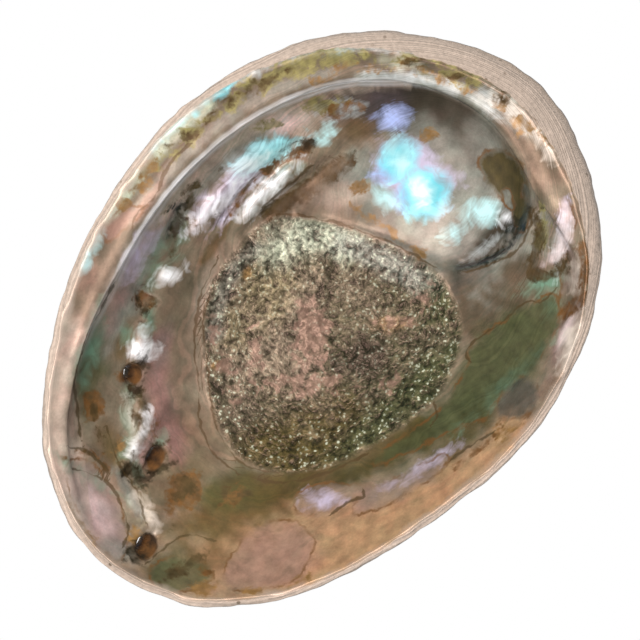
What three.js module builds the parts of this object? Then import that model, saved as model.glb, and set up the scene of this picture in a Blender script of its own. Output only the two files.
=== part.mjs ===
// Abalone shell lying on its back with the pearly side up: one closed solid, in millimetres, +Z up.
// +X runs along the shell towards the spire, and +Y towards the row of breathing holes.
// The origin lies under the middle of the shell, on the surface that it rests on.
import * as THREE from "three";

const TAU = 2 * Math.PI;

// Driving dimensions, in millimetres.
const RIM_HEIGHT = 48; // top of the rim at the shell's two long sides
const END_DROP = 4; // how much lower the rim is at the two ends
const WALL = 3.2; // thickness of the shell wall
const EDGE = 1.8; // thickness at the free edge of the rim
const RIPPLE = { rise: 0.35, waves: 23 }; // unevenness of the outer lip's edge
const LIP_DROP = 1.6; // from the rim down to the free crest of the shelf
const LIP_THICKNESS = 3.4; // of the shelf, at its crest
const SHELF_DISH = 1.3; // how far the shelf sags between rim and crest
const UNDERCUT = 8.5; // how far the spire's hollow reaches under the shelf
const KEEL = [10, 3]; // lowest point of the back, under the shell's weight
const REST_CUT = 0.9; // worn off the back, where the shell rests

// Polar curves about the origin, one value every 20 degrees from +X towards +Y.
// Silhouette of the shell, 180 long and 131 wide.
const OUTLINE = [
  89.7, 83.7, 77.2, 70.2, 66.3, 64.4, 66.7, 72.9, 83.5,
  90, 86.6, 76.6, 67.8, 64.5, 67, 71.7, 79, 85.8,
];
// Free crest of the inner lip's shelf, and a line close to the edge along the plain outer lip.
const CREST = [71, 68.4, 62.3, 56, 52.4, 52.2, 55.1, 63.6, 75, 85.5, 82.5, 72.5, 64, 60.8, 63, 67.5, 73, 67.5];
// Edge of the rough muscle scar in the middle of the floor.
const SCAR = [27.5, 24, 21.5, 23, 26.5, 29, 31, 34, 39, 47, 50, 47.5, 43, 40, 39.5, 38.5, 37, 33];
// How far the rim stands in from the silhouette, where the back bulges out below it.
const INSET = [9, 7, 4.2, 2, 1, 0.6, 0.6, 0.6, 0.6, 0.6, 0.6, 0.6, 0.6, 0.6, 0.6, 1, 3, 7];
// 1 where the wall stands up steeply and rolls in at the rim, 0 where it flares like a saucer.
const STEEPNESS = [
  1, 1, 0.95, 0.9, 0.8, 0.7, 0.55, 0.42, 0.28,
  0.15, 0.1, 0.05, 0, 0, 0.05, 0.15, 0.4, 0.8,
];
// 1 along the shelf of the inner lip, 0 along the plain outer lip.
const SHELF = [1, 1, 1, 1, 1, 1, 1, 1, 0.5, 0, 0, 0, 0, 0, 0, 0, 0.05, 0.75];

// Breathing holes from the newest to the oldest: place, half length, half width, turn of the long side.
const OPEN_HOLES = [
  { at: [-78.5, -9.5], size: [3.8, 2.9], turn: 25 },
  { at: [-60, 5.5], size: [3.9, 2.5], turn: 15 },
  { at: [-47, 26], size: [3.2, 2.5], turn: 40 },
];
const SEALED_HOLES = [[-28, 38], [-5, 44], [16, 45.5], [36, 40], [52, 30]];
const HOLE_SLANT = 4.2; // the tunnels run outwards as they go through the wall
const HOLE_TAPER = 0.45; // size of a hole on the back, as a share of its size inside
const TUBERCLE_RISE = 3.4;
const TUBERCLE_REACH = 5.5;

// Swellings (rise above 0) and hollows of the pearly floor: place, half length, half width, turn, rise.
const FLOOR_RELIEF = [
  { at: [8, 41], size: [14, 4], turn: 0, rise: 3.4 }, // swelling behind the sealed holes
  { at: [17, 32], size: [12, 2.8], turn: -4, rise: 2.5 }, // fold that runs into the spire
  { at: [22, 36.5], size: [13, 2], turn: -3, rise: -1.2 },
  { at: [28, 26.5], size: [15, 3], turn: -8, rise: -1.6 },
  { at: [-19, 36], size: [6, 3.6], turn: 18, rise: 2.8 }, // humps between the holes
  { at: [-39, 28.5], size: [6, 3.4], turn: 28, rise: 3 },
  { at: [-54, 13], size: [9, 2.8], turn: 14, rise: 3.8 },
  { at: [-70.5, -3], size: [7, 2.6], turn: 40, rise: 2.2 },
  { at: [-5, 45], size: [4.5, 2.4], turn: 18, rise: -3 }, // dimples of the sealed holes
  { at: [-28, 38.5], size: [3.4, 2.8], turn: 35, rise: -2.8 },
  { at: [-60, 28], size: [6, 5], turn: 30, rise: -1 },
  { at: [-78, 9], size: [5, 11], turn: 8, rise: -1.8 }, // pocket at the front end
  { at: [-70, 14], size: [2, 10], turn: 12, rise: 1.2 },
  { at: [61, -36], size: [11, 6], turn: 40, rise: 7.5 }, // swelling where the shelf runs out into the floor
  { at: [6, -14], size: [9, 7], turn: 0, rise: 0.9 }, // lump on the muscle scar
  { at: [16, -17], size: [5, 3], turn: -30, rise: -0.8 },
];
const SCAR_RISE = 1.1; // of the rough muscle scar above the floor
const SCAR_STEP = 3; // width of the slope at the scar's edge
const SCAR_LUMPS = { length: 10, rise: 0.35 };

// Hollow of the spire, an oval that is cut off sharply at the columella's fold.
const SPIRE = { at: [50, 0], size: [20, 28], depth: 2, fold: 3.4 };
// Whorls on the back: apex, reach, size ratio of one turn to the next, and height of their swell.
const APEX = { at: [57, 3], reach: 32, growth: 3, rise: 3.2 };
const APEX_LIFT = 6.5; // clearance of the spire above the surface that the shell rests on
const GROWTH_WAVE = { length: 13, rise: 0.45 }; // old edges, seen as low steps on the back

// Mesh density.
const SPOKES = 104;
const FLOOR_RINGS = 18;
const CLIFF_RINGS = 4;
const SHELF_RINGS = 4;
const BACK_RINGS = 17;
const ROLL_RINGS = 2; // from the widest girth up to the rim

const clamp01 = (t) => Math.min(1, Math.max(0, t));
const mix = (a, b, t) => a + (b - a) * t;
const smoothstep = (from, to, value) => {
  const t = clamp01((value - from) / (to - from));
  return t * t * (3 - 2 * t);
};

// A smooth periodic curve through values that are evenly spaced around the circle.
const around = (values) => (angle) => {
  const count = values.length;
  const place = (((angle / TAU) % 1) + 1) * count;
  const first = Math.floor(place);
  const t = place - first;
  const [a, b, c, d] = [-1, 0, 1, 2].map((step) => values[(first + step + count) % count]);
  return b + 0.5 * t * (c - a + t * (2 * a - 5 * b + 4 * c - d + t * (3 * (b - c) + d - a)));
};
const crestAt = around(CREST);
const scarAt = around(SCAR);
const insetAt = around(INSET);
const steepnessAt = (angle) => clamp01(around(STEEPNESS)(angle));
const shelfAt = (angle) => clamp01(around(SHELF)(angle));
const girthAt = around(OUTLINE);
const outlineAt = (angle) => {
  const uneven = RIPPLE.rise * Math.sin(RIPPLE.waves * angle) * Math.sin(3 * angle);
  return girthAt(angle) + uneven * (1 - shelfAt(angle));
};

const rimHeight = (angle) => RIM_HEIGHT - END_DROP * Math.cos(angle) ** 2;
const rimRadius = (angle) => outlineAt(angle) - insetAt(angle);
const girthHeight = (angle) => rimHeight(angle) - 1.5 - 1.2 * insetAt(angle);

// A bell-shaped swelling of an oval patch, 1 in its middle.
function bell(x, y, { at, size, turn }) {
  const a = THREE.MathUtils.degToRad(turn);
  const [dx, dy] = [x - at[0], y - at[1]];
  const along = (dx * Math.cos(a) + dy * Math.sin(a)) / size[0];
  const across = (dy * Math.cos(a) - dx * Math.sin(a)) / size[1];
  return Math.exp(-(along * along + across * across));
}

// Height of the plain rounded back over a point of the plan.
function domeHeight(planX, planY) {
  const inwards = 1 - Math.min(1, Math.hypot(planX, planY) / girthAt(Math.atan2(planY, planX)));
  const [x, y] = [planX - KEEL[0] * inwards, planY - KEEL[1] * inwards];
  const angle = Math.atan2(y, x);
  const q = Math.min(1, Math.hypot(x, y) / girthAt(angle));
  const steep = steepnessAt(angle);
  const saucer = q ** 2.4;
  const bowl = 1 - Math.sqrt(1 - q ** 2.2);
  const lift = APEX_LIFT * smoothstep(18, 58, planX) * smoothstep(1, 0.7, q);
  return girthHeight(angle) * mix(saucer, bowl, steep) + lift;
}

// Swell of the spire's whorls, which wind inwards clockwise seen from above.
function whorlSwell(x, y) {
  const [dx, dy] = [x - APEX.at[0], y - APEX.at[1]];
  const distance = Math.max(0.5, Math.hypot(dx, dy));
  const turns = Math.log(distance / APEX.reach) / Math.log(APEX.growth) - Math.atan2(dy, dx) / TAU;
  const whorl = 0.5 - 0.5 * Math.cos(TAU * turns);
  const fade = smoothstep(APEX.reach * 1.2, APEX.reach * 0.6, distance);
  return APEX.rise * fade * mix(0.9, whorl + 0.3, smoothstep(4, 11, distance));
}

// Where an open hole comes out on the back: a smaller oval, moved outwards along the short side.
function holeExit({ at, size, turn }) {
  const a = THREE.MathUtils.degToRad(turn);
  const place = [at[0] - HOLE_SLANT * Math.sin(a), at[1] + HOLE_SLANT * Math.cos(a)];
  return { at: place, size: size.map((half) => half * HOLE_TAPER), turn };
}

// Height of the outer surface: dome, whorls, tubercles of the holes and old growth edges.
function backHeight(x, y) {
  const holes = [...OPEN_HOLES.map((hole) => holeExit(hole).at), ...SEALED_HOLES];
  const tubercle = Math.max(
    ...holes.map((at) => bell(x, y, { at, size: [TUBERCLE_REACH, TUBERCLE_REACH], turn: 0 })),
  );
  const fromSpire = Math.hypot(x - APEX.at[0], y - APEX.at[1]);
  const wave = Math.sin((TAU * fromSpire) / GROWTH_WAVE.length) * smoothstep(20, 60, fromSpire);
  const relief = whorlSwell(x, y) + TUBERCLE_RISE * tubercle + GROWTH_WAVE.rise * wave;
  const central = smoothstep(14, 26, Math.hypot(x - KEEL[0], y - KEEL[1]));
  return domeHeight(x, y) - relief * central;
}

// Height of the pearly floor below the shelf.
function floorHeight(x, y) {
  const step = 0.5;
  const slopeX = (domeHeight(x + step, y) - domeHeight(x - step, y)) / (2 * step);
  const slopeY = (domeHeight(x, y + step) - domeHeight(x, y - step)) / (2 * step);
  const wall = WALL * Math.min(1.8, Math.hypot(1, slopeX, slopeY));
  const angle = Math.atan2(y, x);
  const scarEdge = scarAt(angle) - Math.hypot(x, y);
  const pitch = TAU / SCAR_LUMPS.length;
  const lumps = Math.sin(pitch * x) * Math.sin(pitch * (y + 0.3 * x));
  const onScar = smoothstep(-SCAR_STEP / 2, SCAR_STEP / 2, scarEdge);
  const scar = onScar * (SCAR_RISE + SCAR_LUMPS.rise * lumps);
  const relief = FLOOR_RELIEF.reduce((sum, patch) => sum + patch.rise * bell(x, y, patch), 0);
  return domeHeight(x, y) + wall + scar + relief - spireDepth(x, y);
}

// Depth of the spire's hollow, which drops sharply inside the fold at its lower side.
function spireDepth(x, y) {
  const [dx, dy] = [(x - SPIRE.at[0]) / SPIRE.size[0], (y - SPIRE.at[1]) / SPIRE.size[1]];
  const reach = Math.hypot(dx, dy);
  const lowerSide = smoothstep(-0.1, -0.75, dy / Math.max(reach, 0.01));
  const hollow = SPIRE.depth * smoothstep(1.15, 0.3, reach);
  const drop = smoothstep(1.1, 0.9, reach) - 0.55 * smoothstep(1.5, 1, reach);
  return hollow + SPIRE.fold * lowerSide * drop;
}

// A point of the pearly side: ring 0 is the middle, and the last ring is the rim's inner edge.
function pearlPoint(angle, ring) {
  const [dirX, dirY] = [Math.cos(angle), Math.sin(angle)];
  const at = (radius, height) => new THREE.Vector3(dirX * radius, dirY * radius, height);
  const onFloor = (radius) => at(radius, floorHeight(dirX * radius, dirY * radius));
  const shelf = shelfAt(angle);
  const rim = at(rimRadius(angle) - EDGE, rimHeight(angle));
  const crest = at(crestAt(angle), rimHeight(angle) - LIP_DROP);
  const footRadius = crestAt(angle) - 3.5;
  if (ring <= FLOOR_RINGS) return onFloor((footRadius * ring) / FLOOR_RINGS);

  const foot = onFloor(footRadius);
  const share = (ring - FLOOR_RINGS) / (CLIFF_RINGS + SHELF_RINGS);
  const plain = foot.clone().lerp(rim, share);
  let ledge;
  if (ring <= FLOOR_RINGS + CLIFF_RINGS) {
    const t = (ring - FLOOR_RINGS) / CLIFF_RINGS;
    const hollow = UNDERCUT * steepnessAt(angle) ** 2;
    const under = at(crestAt(angle) + 0.8, crest.z - LIP_THICKNESS);
    const bend = at(crestAt(angle) + 2 * hollow, mix(foot.z, under.z, 0.45));
    ledge = new THREE.QuadraticBezierCurve3(foot, bend, under).getPoint(t);
  } else {
    const t = (ring - FLOOR_RINGS - CLIFF_RINGS - 1) / (SHELF_RINGS - 1);
    const nose = at(crestAt(angle) - 0.4, crest.z - 0.4 * LIP_THICKNESS);
    const top = at(crestAt(angle) + 1.4, crest.z);
    ledge = t === 0 ? nose : top.lerp(rim, (t - 1 / 3) * 1.5);
    if (t > 0) ledge.z -= SHELF_DISH * Math.sin(Math.PI * (t - 1 / 3) * 1.5);
  }
  return plain.lerp(ledge, shelf);
}

// A point of the back: ring 0 is where the shell rests, and the last ring is the rim's outer edge.
function backPoint(angle, ring) {
  const girthRings = BACK_RINGS - ROLL_RINGS;
  const radius = outlineAt(angle);
  if (ring <= girthRings) {
    const r = (radius * ring) / girthRings;
    const [x, y] = [Math.cos(angle) * r, Math.sin(angle) * r];
    return new THREE.Vector3(x, y, Math.max(0, backHeight(x, y) - REST_CUT));
  }
  const roll = (((ring - girthRings) / ROLL_RINGS) * Math.PI) / 2;
  const r = radius - insetAt(angle) * (1 - Math.cos(roll));
  const z = mix(girthHeight(angle), rimHeight(angle), Math.sin(roll)) - REST_CUT;
  return new THREE.Vector3(Math.cos(angle) * r, Math.sin(angle) * r, z);
}

// Spokes at even steps along the outline.
function spokeAngles() {
  const points = Array.from({ length: 720 }, (_, i) => {
    const angle = (TAU * i) / 720;
    return new THREE.Vector3(Math.cos(angle), Math.sin(angle), 0).multiplyScalar(outlineAt(angle));
  });
  const curve = new THREE.CatmullRomCurve3(points, true);
  return curve.getSpacedPoints(SPOKES).slice(0, SPOKES).map((p) => Math.atan2(p.y, p.x));
}

// One side of the shell as a wheel of rings, with a block of faces taken out at each open hole.
class Wheel {
  constructor(angles, rings, pointAt, first) {
    Object.assign(this, { angles, rings, first, cut: new Set(), loops: [] });
    this.points = [pointAt(0, 0)];
    for (let ring = 1; ring <= rings; ring++) {
      for (const angle of angles) this.points.push(pointAt(angle, ring));
    }
  }

  index(spoke, ring) {
    return ring === 0 ? 0 : 1 + (ring - 1) * SPOKES + ((spoke + SPOKES) % SPOKES);
  }

  // Moves the eight points around the grid point nearest to a hole onto its oval, and cuts out their middle.
  openHole({ at, size, turn }, heightAt) {
    let best = { gap: Infinity };
    for (let ring = 3; ring < this.rings - 2; ring++) {
      for (let spoke = 0; spoke < SPOKES; spoke++) {
        const p = this.points[this.index(spoke, ring)];
        const gap = Math.hypot(p.x - at[0], p.y - at[1]);
        if (gap < best.gap) best = { gap, spoke, ring };
      }
    }
    const around8 = [[-1, -1], [0, -1], [1, -1], [1, 0], [1, 1], [0, 1], [-1, 1], [-1, 0]];
    const loop = around8.map(([s, r]) => this.index(best.spoke + s, best.ring + r));
    const a = THREE.MathUtils.degToRad(turn);
    const outwards = this.angles[best.spoke];
    around8.forEach(([s, r], k) => {
      const bearing = outwards + Math.atan2(s, r) - a;
      const [u, v] = [size[0] * Math.cos(bearing), size[1] * Math.sin(bearing)];
      const x = at[0] + u * Math.cos(a) - v * Math.sin(a);
      const y = at[1] + u * Math.sin(a) + v * Math.cos(a);
      this.points[loop[k]].set(x, y, heightAt(x, y));
    });
    for (const s of [-1, 0]) {
      for (const r of [-1, 0]) this.cut.add(`${(best.spoke + s + SPOKES) % SPOKES},${best.ring + r}`);
    }
    this.loops.push(loop.map((i) => i + this.first));
  }

  // Triangles, seen anticlockwise from above, or turned over for the back.
  triangles(turnedOver) {
    const faces = [];
    const add = (a, b, c) => faces.push(turnedOver ? [a, c, b] : [a, b, c]);
    for (let spoke = 0; spoke < SPOKES; spoke++) {
      add(0, this.index(spoke, 1), this.index(spoke + 1, 1));
      for (let ring = 1; ring < this.rings; ring++) {
        if (this.cut.has(`${spoke},${ring}`)) continue;
        const [a, b] = [this.index(spoke, ring), this.index(spoke, ring + 1)];
        const [c, d] = [this.index(spoke + 1, ring + 1), this.index(spoke + 1, ring)];
        add(a, b, c);
        add(a, c, d);
      }
    }
    return faces.map((face) => face.map((i) => i + this.first));
  }

  rim() {
    return this.angles.map((_, spoke) => this.index(spoke, this.rings) + this.first);
  }
}

// Two triangles for each step along a pair of loops, the first loop on the outside of the turn.
const bridge = (outer, inner) =>
  outer.flatMap((a, k) => {
    const next = (k + 1) % outer.length;
    return [[a, outer[next], inner[next]], [a, inner[next], inner[k]]];
  });

function shellGeometry() {
  const angles = spokeAngles();
  const pearl = new Wheel(angles, FLOOR_RINGS + CLIFF_RINGS + SHELF_RINGS, pearlPoint, 0);
  const back = new Wheel(angles, BACK_RINGS, backPoint, pearl.points.length);
  for (const hole of OPEN_HOLES) {
    pearl.openHole(hole, floorHeight);
    back.openHole(holeExit(hole), (x, y) => backHeight(x, y) - REST_CUT);
  }
  const tunnels = pearl.loops.flatMap((loop, k) => bridge(back.loops[k], loop));
  const faces = [
    ...pearl.triangles(false),
    ...back.triangles(true),
    ...bridge(back.rim(), pearl.rim()),
    ...tunnels,
  ];
  const used = [...new Set(faces.flat())].sort((a, b) => a - b);
  const renumbered = new Map(used.map((old, i) => [old, i]));
  const points = [...pearl.points, ...back.points];
  const geometry = new THREE.BufferGeometry().setFromPoints(used.map((i) => points[i]));
  geometry.setIndex(faces.flat().map((i) => renumbered.get(i)));
  geometry.computeBoundingBox();
  const middle = geometry.boundingBox.getCenter(new THREE.Vector3());
  geometry.translate(-middle.x, -middle.y, 0);
  geometry.computeVertexNormals();
  return geometry;
}

const nacre = new THREE.MeshStandardMaterial({ color: 0xb9a694, roughness: 0.3, metalness: 0.15 });
const shell = new THREE.Mesh(shellGeometry(), nacre);
shell.name = "shell";

const abalone = new THREE.Group();
abalone.add(shell);

export default abalone;
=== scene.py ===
import logging
import math
from collections.abc import Iterable
from dataclasses import dataclass, field
from enum import Enum
from typing import Union

import bpy
import numpy as np
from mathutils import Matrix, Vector
from mathutils.bvhtree import BVHTree


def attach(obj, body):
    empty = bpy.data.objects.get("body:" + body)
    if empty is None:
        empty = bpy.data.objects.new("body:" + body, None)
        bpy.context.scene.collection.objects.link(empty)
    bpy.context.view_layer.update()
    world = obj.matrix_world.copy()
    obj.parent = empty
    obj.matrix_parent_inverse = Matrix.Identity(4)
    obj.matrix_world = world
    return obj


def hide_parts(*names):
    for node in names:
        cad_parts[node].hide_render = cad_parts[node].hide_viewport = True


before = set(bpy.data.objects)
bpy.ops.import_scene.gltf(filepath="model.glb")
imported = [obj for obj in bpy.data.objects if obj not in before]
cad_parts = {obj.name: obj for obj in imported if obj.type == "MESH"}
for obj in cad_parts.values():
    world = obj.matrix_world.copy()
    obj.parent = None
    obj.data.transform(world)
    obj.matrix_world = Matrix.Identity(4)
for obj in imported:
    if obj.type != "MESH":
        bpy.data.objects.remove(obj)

# Look of the abalone shell. The plan is in millimetres: +X to the spire, +Y to the breathing holes.
MM = 0.001
# Answer for a point that lies past the reach of a line, in millimetres
FAR = 1000.0
# Largest depth inside or outside a mark that the mesh keeps, in millimetres
DEEPEST = 4.0
# Half width of the soft seam between two zones, in millimetres
SEAM = 0.8
# Straight steps that each span of a smooth line is made of
SPAN_STEPS = 6
# Lumps on each side of a seeded noise, and the lump that the plan's origin lies in
LATTICE = 256
LATTICE_START = 100.5
# Range that nearly all of a noise node's values lie in
USUAL = (0.3, 0.7)
# Width of the camera's film in millimetres
FILM_WIDTH = 36.0

# What goes into a node: a link from another node, or else a colour or a plain number
Socket = bpy.types.NodeSocket
Value = Union[Socket, tuple[float, ...], float]
log = logging.getLogger("abalone")


class Tint(Enum):
    """Colours of the shell in even light, and of its painted highlights and painted shade, as red, green and
    blue in hex.
    """

    BEIGE = "867462"
    TAUPE = "5a4d3e"
    PEACH = "ac8764"
    SAND = "c9a883"
    CREAM = "e4d3c3"
    BONE = "bfab9b"
    # Pale green-white, also used for the scar's painted glints
    DEW = "cdd0b6"
    TAN = "5e4729"
    ROSE = "987566"
    MAUVE = "927973"
    WINE = "8a6460"
    GREY = "8f8e84"
    MIST = "bcc0bd"
    SLATE = "4c463f"
    PLUM = "483e43"
    # Painted highlight; LILAC, SKY, AQUA and BLUE below also paint the pearl's iridescent highlights
    HIGHLIGHT = "fcfafa"
    LILAC = "d0c4dc"
    PINK = "ecd3d0"
    SKY = "c2ecec"
    AQUA = "74dde8"
    BLUE = "b4c4f8"
    TEAL = "6b8c76"
    MOSS = "8f8452"
    OLIVE = "4a3d1c"
    FERN = "474a2e"
    GOLD = "88653a"
    RUST = "6b4522"
    UMBER = "46331c"
    # Painted shade: the dark inside holes and pits, and the shadow under the spire's fold
    DEEP_SHADE = "25180e"
    DUSK = "362d26"

    @property
    def field(self) -> str:
        """Name of the mesh attribute that holds how deep a point lies in this colour's patches."""
        return f"in_{self.name.lower()}"

    @property
    def linear(self) -> np.ndarray:
        """The colour in linear light, by the usual curve of screens."""
        srgb = np.array([int(self.value[i : i + 2], 16) for i in (0, 2, 4)]) / 255
        return np.where(srgb <= 0.04045, srgb / 12.92, ((srgb + 0.055) / 1.055) ** 2.4)

    @property
    def rgb(self) -> tuple[float, ...]:
        """The colour in linear light as a plain triple."""
        return tuple(self.linear)


def smoothstep(low: float, high: float, value: np.ndarray) -> np.ndarray:
    """A soft step of a value.

    Args:
        low: where the step is 0.
        high: where the step is 1.
        value: the values to step.

    Returns:
        The values between 0 and 1.
    """
    t = np.clip((value - low) / (high - low), 0, 1)
    return t * t * (3 - 2 * t)


@dataclass(frozen=True)
class Grain:
    """Smooth seeded noise over the plan.

    Fields:
        seed: the noise's own number.
        size: width of its lumps in millimetres.
    """

    seed: int
    size: float

    def at(self, plan: np.ndarray) -> np.ndarray:
        """Noise at points of the plan.

        Args:
            plan: points in millimetres.

        Returns:
            One value from -1 to 1 for each point.
        """
        table = np.random.default_rng(self.seed).uniform(-1, 1, (LATTICE, LATTICE))
        cell = plan / self.size + LATTICE_START
        base = np.floor(cell).astype(int)
        u, v = (smoothstep(0, 1, part) for part in (cell - base).T)
        i, j = (base % LATTICE).T
        k, m = (i + 1) % LATTICE, (j + 1) % LATTICE
        low = table[i, j] * (1 - u) + table[k, j] * u
        high = table[i, m] * (1 - u) + table[k, m] * u
        return low * (1 - v) + high * v


@dataclass(frozen=True)
class Layers:
    """Noises of several sizes, added up.

    Fields:
        parts: each noise with its share.
    """

    parts: tuple[tuple[float, Grain], ...]

    def at(self, plan: np.ndarray) -> np.ndarray:
        """Their sum at points of the plan."""
        return sum(share * grain.at(plan) for share, grain in self.parts)


PEBBLES = Layers(((0.6, Grain(1, 2.6)), (0.5, Grain(2, 1.5))))
WAVES = Layers(((0.6, Grain(3, 11)), (0.4, Grain(4, 5))))
GROWTH_DRIFT = Layers(((1.2, Grain(5, 16)),))
BACK_LUMPS = Layers(((0.5, Grain(6, 5)), (0.3, Grain(7, 2.2))))
EDGE_CHIPS = Layers(((1.0, Grain(8, 4)), (0.6, Grain(9, 1.7))))


@dataclass(frozen=True)
class Path:
    """A smooth line over the plan.

    Fields:
        points: places in millimetres that it goes through.
        closed: whether it comes back to its first point.
    """

    points: tuple[tuple[float, float], ...]
    closed: bool = False

    def sampled(self) -> np.ndarray:
        """Close points along the line.

        Returns:
            The points in millimetres, in order.
        """
        pts = np.array(self.points, float)
        if self.closed:
            ring = np.vstack([pts[-1], pts, pts[0], pts[1]])
        else:
            ring = np.vstack([2 * pts[0] - pts[1], pts, 2 * pts[-1] - pts[-2]])
        t = np.linspace(0, 1, SPAN_STEPS, endpoint=False)[:, None]
        spans = [
            b + 0.5 * t * (c - a + t * (2 * a - 5 * b + 4 * c - d + t * (3 * (b - c) + d - a)))
            for a, b, c, d in zip(ring, ring[1:], ring[2:], ring[3:])
        ]
        return np.vstack([*spans, pts[:1] if self.closed else pts[-1:]])

    def offset(self, plan: np.ndarray, reach: float = FAR) -> np.ndarray:
        """How far points lie from the line, above 0 on its left side.

        Args:
            plan: points in millimetres.
            reach: distance past which the answer may be FAR.

        Returns:
            The signed distances in millimetres.
        """
        line = self.sampled()
        near = np.all((plan > line.min(0) - reach) & (plan < line.max(0) + reach), axis=1)
        spots = plan[near]
        best = np.full(len(spots), FAR)
        for a, b in zip(line, line[1:]):
            run = b - a
            gap = spots - a
            t = np.clip((gap @ run) / max(run @ run, 1e-9), 0, 1)
            away = np.hypot(*(gap - t[:, None] * run).T)
            side = np.where(run[0] * gap[:, 1] >= run[1] * gap[:, 0], 1, -1)
            best = np.where(away < np.abs(best), side * away, best)
        found = np.full(len(plan), FAR)
        found[near] = best
        return found

    def distance(self, plan: np.ndarray, reach: float = FAR) -> np.ndarray:
        """How far points lie from the line, on either side."""
        return np.abs(self.offset(plan, reach))


class Mark:
    """A patch of colour on the plan; its kinds say how deep a point lies in it.

    Fields:
        tint: its colour.
    """

    tint: Tint

    def depth(self, plan: np.ndarray) -> np.ndarray:
        """How far points lie inside the patch, in millimetres, below 0 outside it."""
        raise NotImplementedError


class SoftMark(Mark):
    """A patch of colour with a soft and uneven edge.

    Fields:
        strength: how much it covers, from 0 to 1.
        soft: how soft its edge is, as a share of its breadth.
        ragged: how uneven its edge is.
        breadth: half of its short side in millimetres.
    """

    strength: float
    soft: float
    ragged: float
    breadth: float

    def mask(self, plan: np.ndarray) -> np.ndarray:
        """Cover of the patch at points of the plan, from 0 to 1.

        Args:
            plan: points in millimetres.

        Returns:
            One value for each point.
        """
        lobes = Grain(11, 0.6 * self.breadth + 1)
        nicks = Grain(12, 1.6)
        uneven = Layers(((1.0, lobes), (0.6, nicks))).at(plan)
        inner = self.depth(plan) / self.breadth - self.ragged * uneven
        return self.strength * smoothstep(-self.soft, self.soft, inner)


@dataclass(frozen=True)
class Bloom(SoftMark):
    """An oval patch.

    Fields:
        at: its middle in millimetres.
        size: half length and half width in millimetres.
        turn: degrees from +X to its length.
        tint: its colour.
        strength: how much it covers, from 0 to 1.
        soft: how soft its edge is, as a share of its breadth.
        ragged: how uneven its edge is.
    """

    at: tuple[float, float]
    size: tuple[float, float]
    turn: float
    tint: Tint
    strength: float = 0.8
    soft: float = 0.4
    ragged: float = 0.25

    @property
    def breadth(self) -> float:
        """Half of its short side in millimetres."""
        return min(self.size)

    def depth(self, plan: np.ndarray) -> np.ndarray:
        """How far points lie inside the oval.

        Args:
            plan: points in millimetres.

        Returns:
            Depths in millimetres, below 0 outside.
        """
        a = math.radians(self.turn)
        dx, dy = (plan - np.array(self.at)).T
        along = (dx * math.cos(a) + dy * math.sin(a)) / self.size[0]
        across = (dy * math.cos(a) - dx * math.sin(a)) / self.size[1]
        return (1 - np.hypot(along, across)) * self.breadth


@dataclass(frozen=True)
class Streak(SoftMark):
    """A band along a line.

    Fields:
        path: the line.
        width: full width in millimetres.
        tint: its colour.
        strength: how much it covers, from 0 to 1.
        soft: how soft its edge is, as a share of its breadth.
        ragged: how uneven its edge is.
    """

    path: Path
    width: float
    tint: Tint
    strength: float = 0.8
    soft: float = 0.5
    ragged: float = 0.3

    @property
    def breadth(self) -> float:
        """Half of its width in millimetres."""
        return self.width / 2

    def depth(self, plan: np.ndarray) -> np.ndarray:
        """How far points lie inside the band, in millimetres."""
        return self.breadth - self.path.distance(plan, 2 * self.width + 3)


@dataclass(frozen=True)
class Patch(Mark):
    """A patch with an outline of its own.

    Fields:
        path: the closed outline.
        tint: its colour.
    """

    path: Path
    tint: Tint

    def depth(self, plan: np.ndarray) -> np.ndarray:
        """How far points lie inside the outline, whichever way round it is drawn.

        Args:
            plan: points in millimetres.

        Returns:
            Depths in millimetres, below 0 outside.
        """
        x, y = np.array(self.path.points).T
        turn = np.sign(np.sum(x * np.roll(y, -1) - y * np.roll(x, -1)))
        aside = self.path.offset(plan, DEEPEST + 2)
        return np.where(aside < FAR, turn * aside, -DEEPEST)


@dataclass(frozen=True)
class Scatter:
    """Small ragged ovals strewn along a line.

    Fields:
        path: the line.
        width: full width of the strewn band in millimetres.
        count: how many ovals there are.
        size: their largest half length in millimetres.
        tint: their colour.
        seed: number of their own chance.
        lengths: least and greatest share of that size.
        widths: least and greatest width, as a share of the length.
        stray: usual turn off the line in degrees.
    """

    path: Path
    width: float
    count: int
    size: float
    tint: Tint
    seed: int
    lengths: tuple[float, float] = (0.4, 1)
    widths: tuple[float, float] = (0.3, 0.6)
    stray: float = 15

    def blooms(self) -> tuple[Bloom, ...]:
        """The ovals, each turned roughly along the line.

        Returns:
            The ovals in the order of their chance.
        """
        chance = np.random.default_rng(self.seed)
        line = self.path.sampled()
        made = []
        for _ in range(self.count):
            k = int(chance.integers(len(line) - 1))
            run = line[k + 1] - line[k]
            turn = math.degrees(math.atan2(run[1], run[0]))
            spot = line[k] + chance.uniform(0, 1) * run + chance.normal(0, self.width / 4, 2)
            length = self.size * chance.uniform(*self.lengths)
            oval = (length, length * chance.uniform(*self.widths))
            made.append(Bloom(tuple(spot), oval, turn + chance.normal(0, self.stray), self.tint))
        return tuple(made)


@dataclass(frozen=True)
class Ridge:
    """A narrow swelling (or a groove, if its rise is below 0) along a line.

    Fields:
        path: the line.
        width: half width in millimetres.
        rise: height in millimetres.
    """

    path: Path
    width: float
    rise: float

    def height(self, plan: np.ndarray) -> np.ndarray:
        """Height that it adds at points of the plan, in millimetres."""
        return self.rise * np.exp(-((self.path.distance(plan, 4 * self.width) / self.width) ** 2))


def path(*points: tuple[float, float], closed: bool = False) -> Path:
    """A line through points of the plan."""
    return Path(points, closed)


class Zone(Enum):
    """Parts of the pearly side that marks are kept to."""

    ANY = "any"
    FLOOR = "floor"
    SCAR = "scar"
    SHELF = "shelf"


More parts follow.
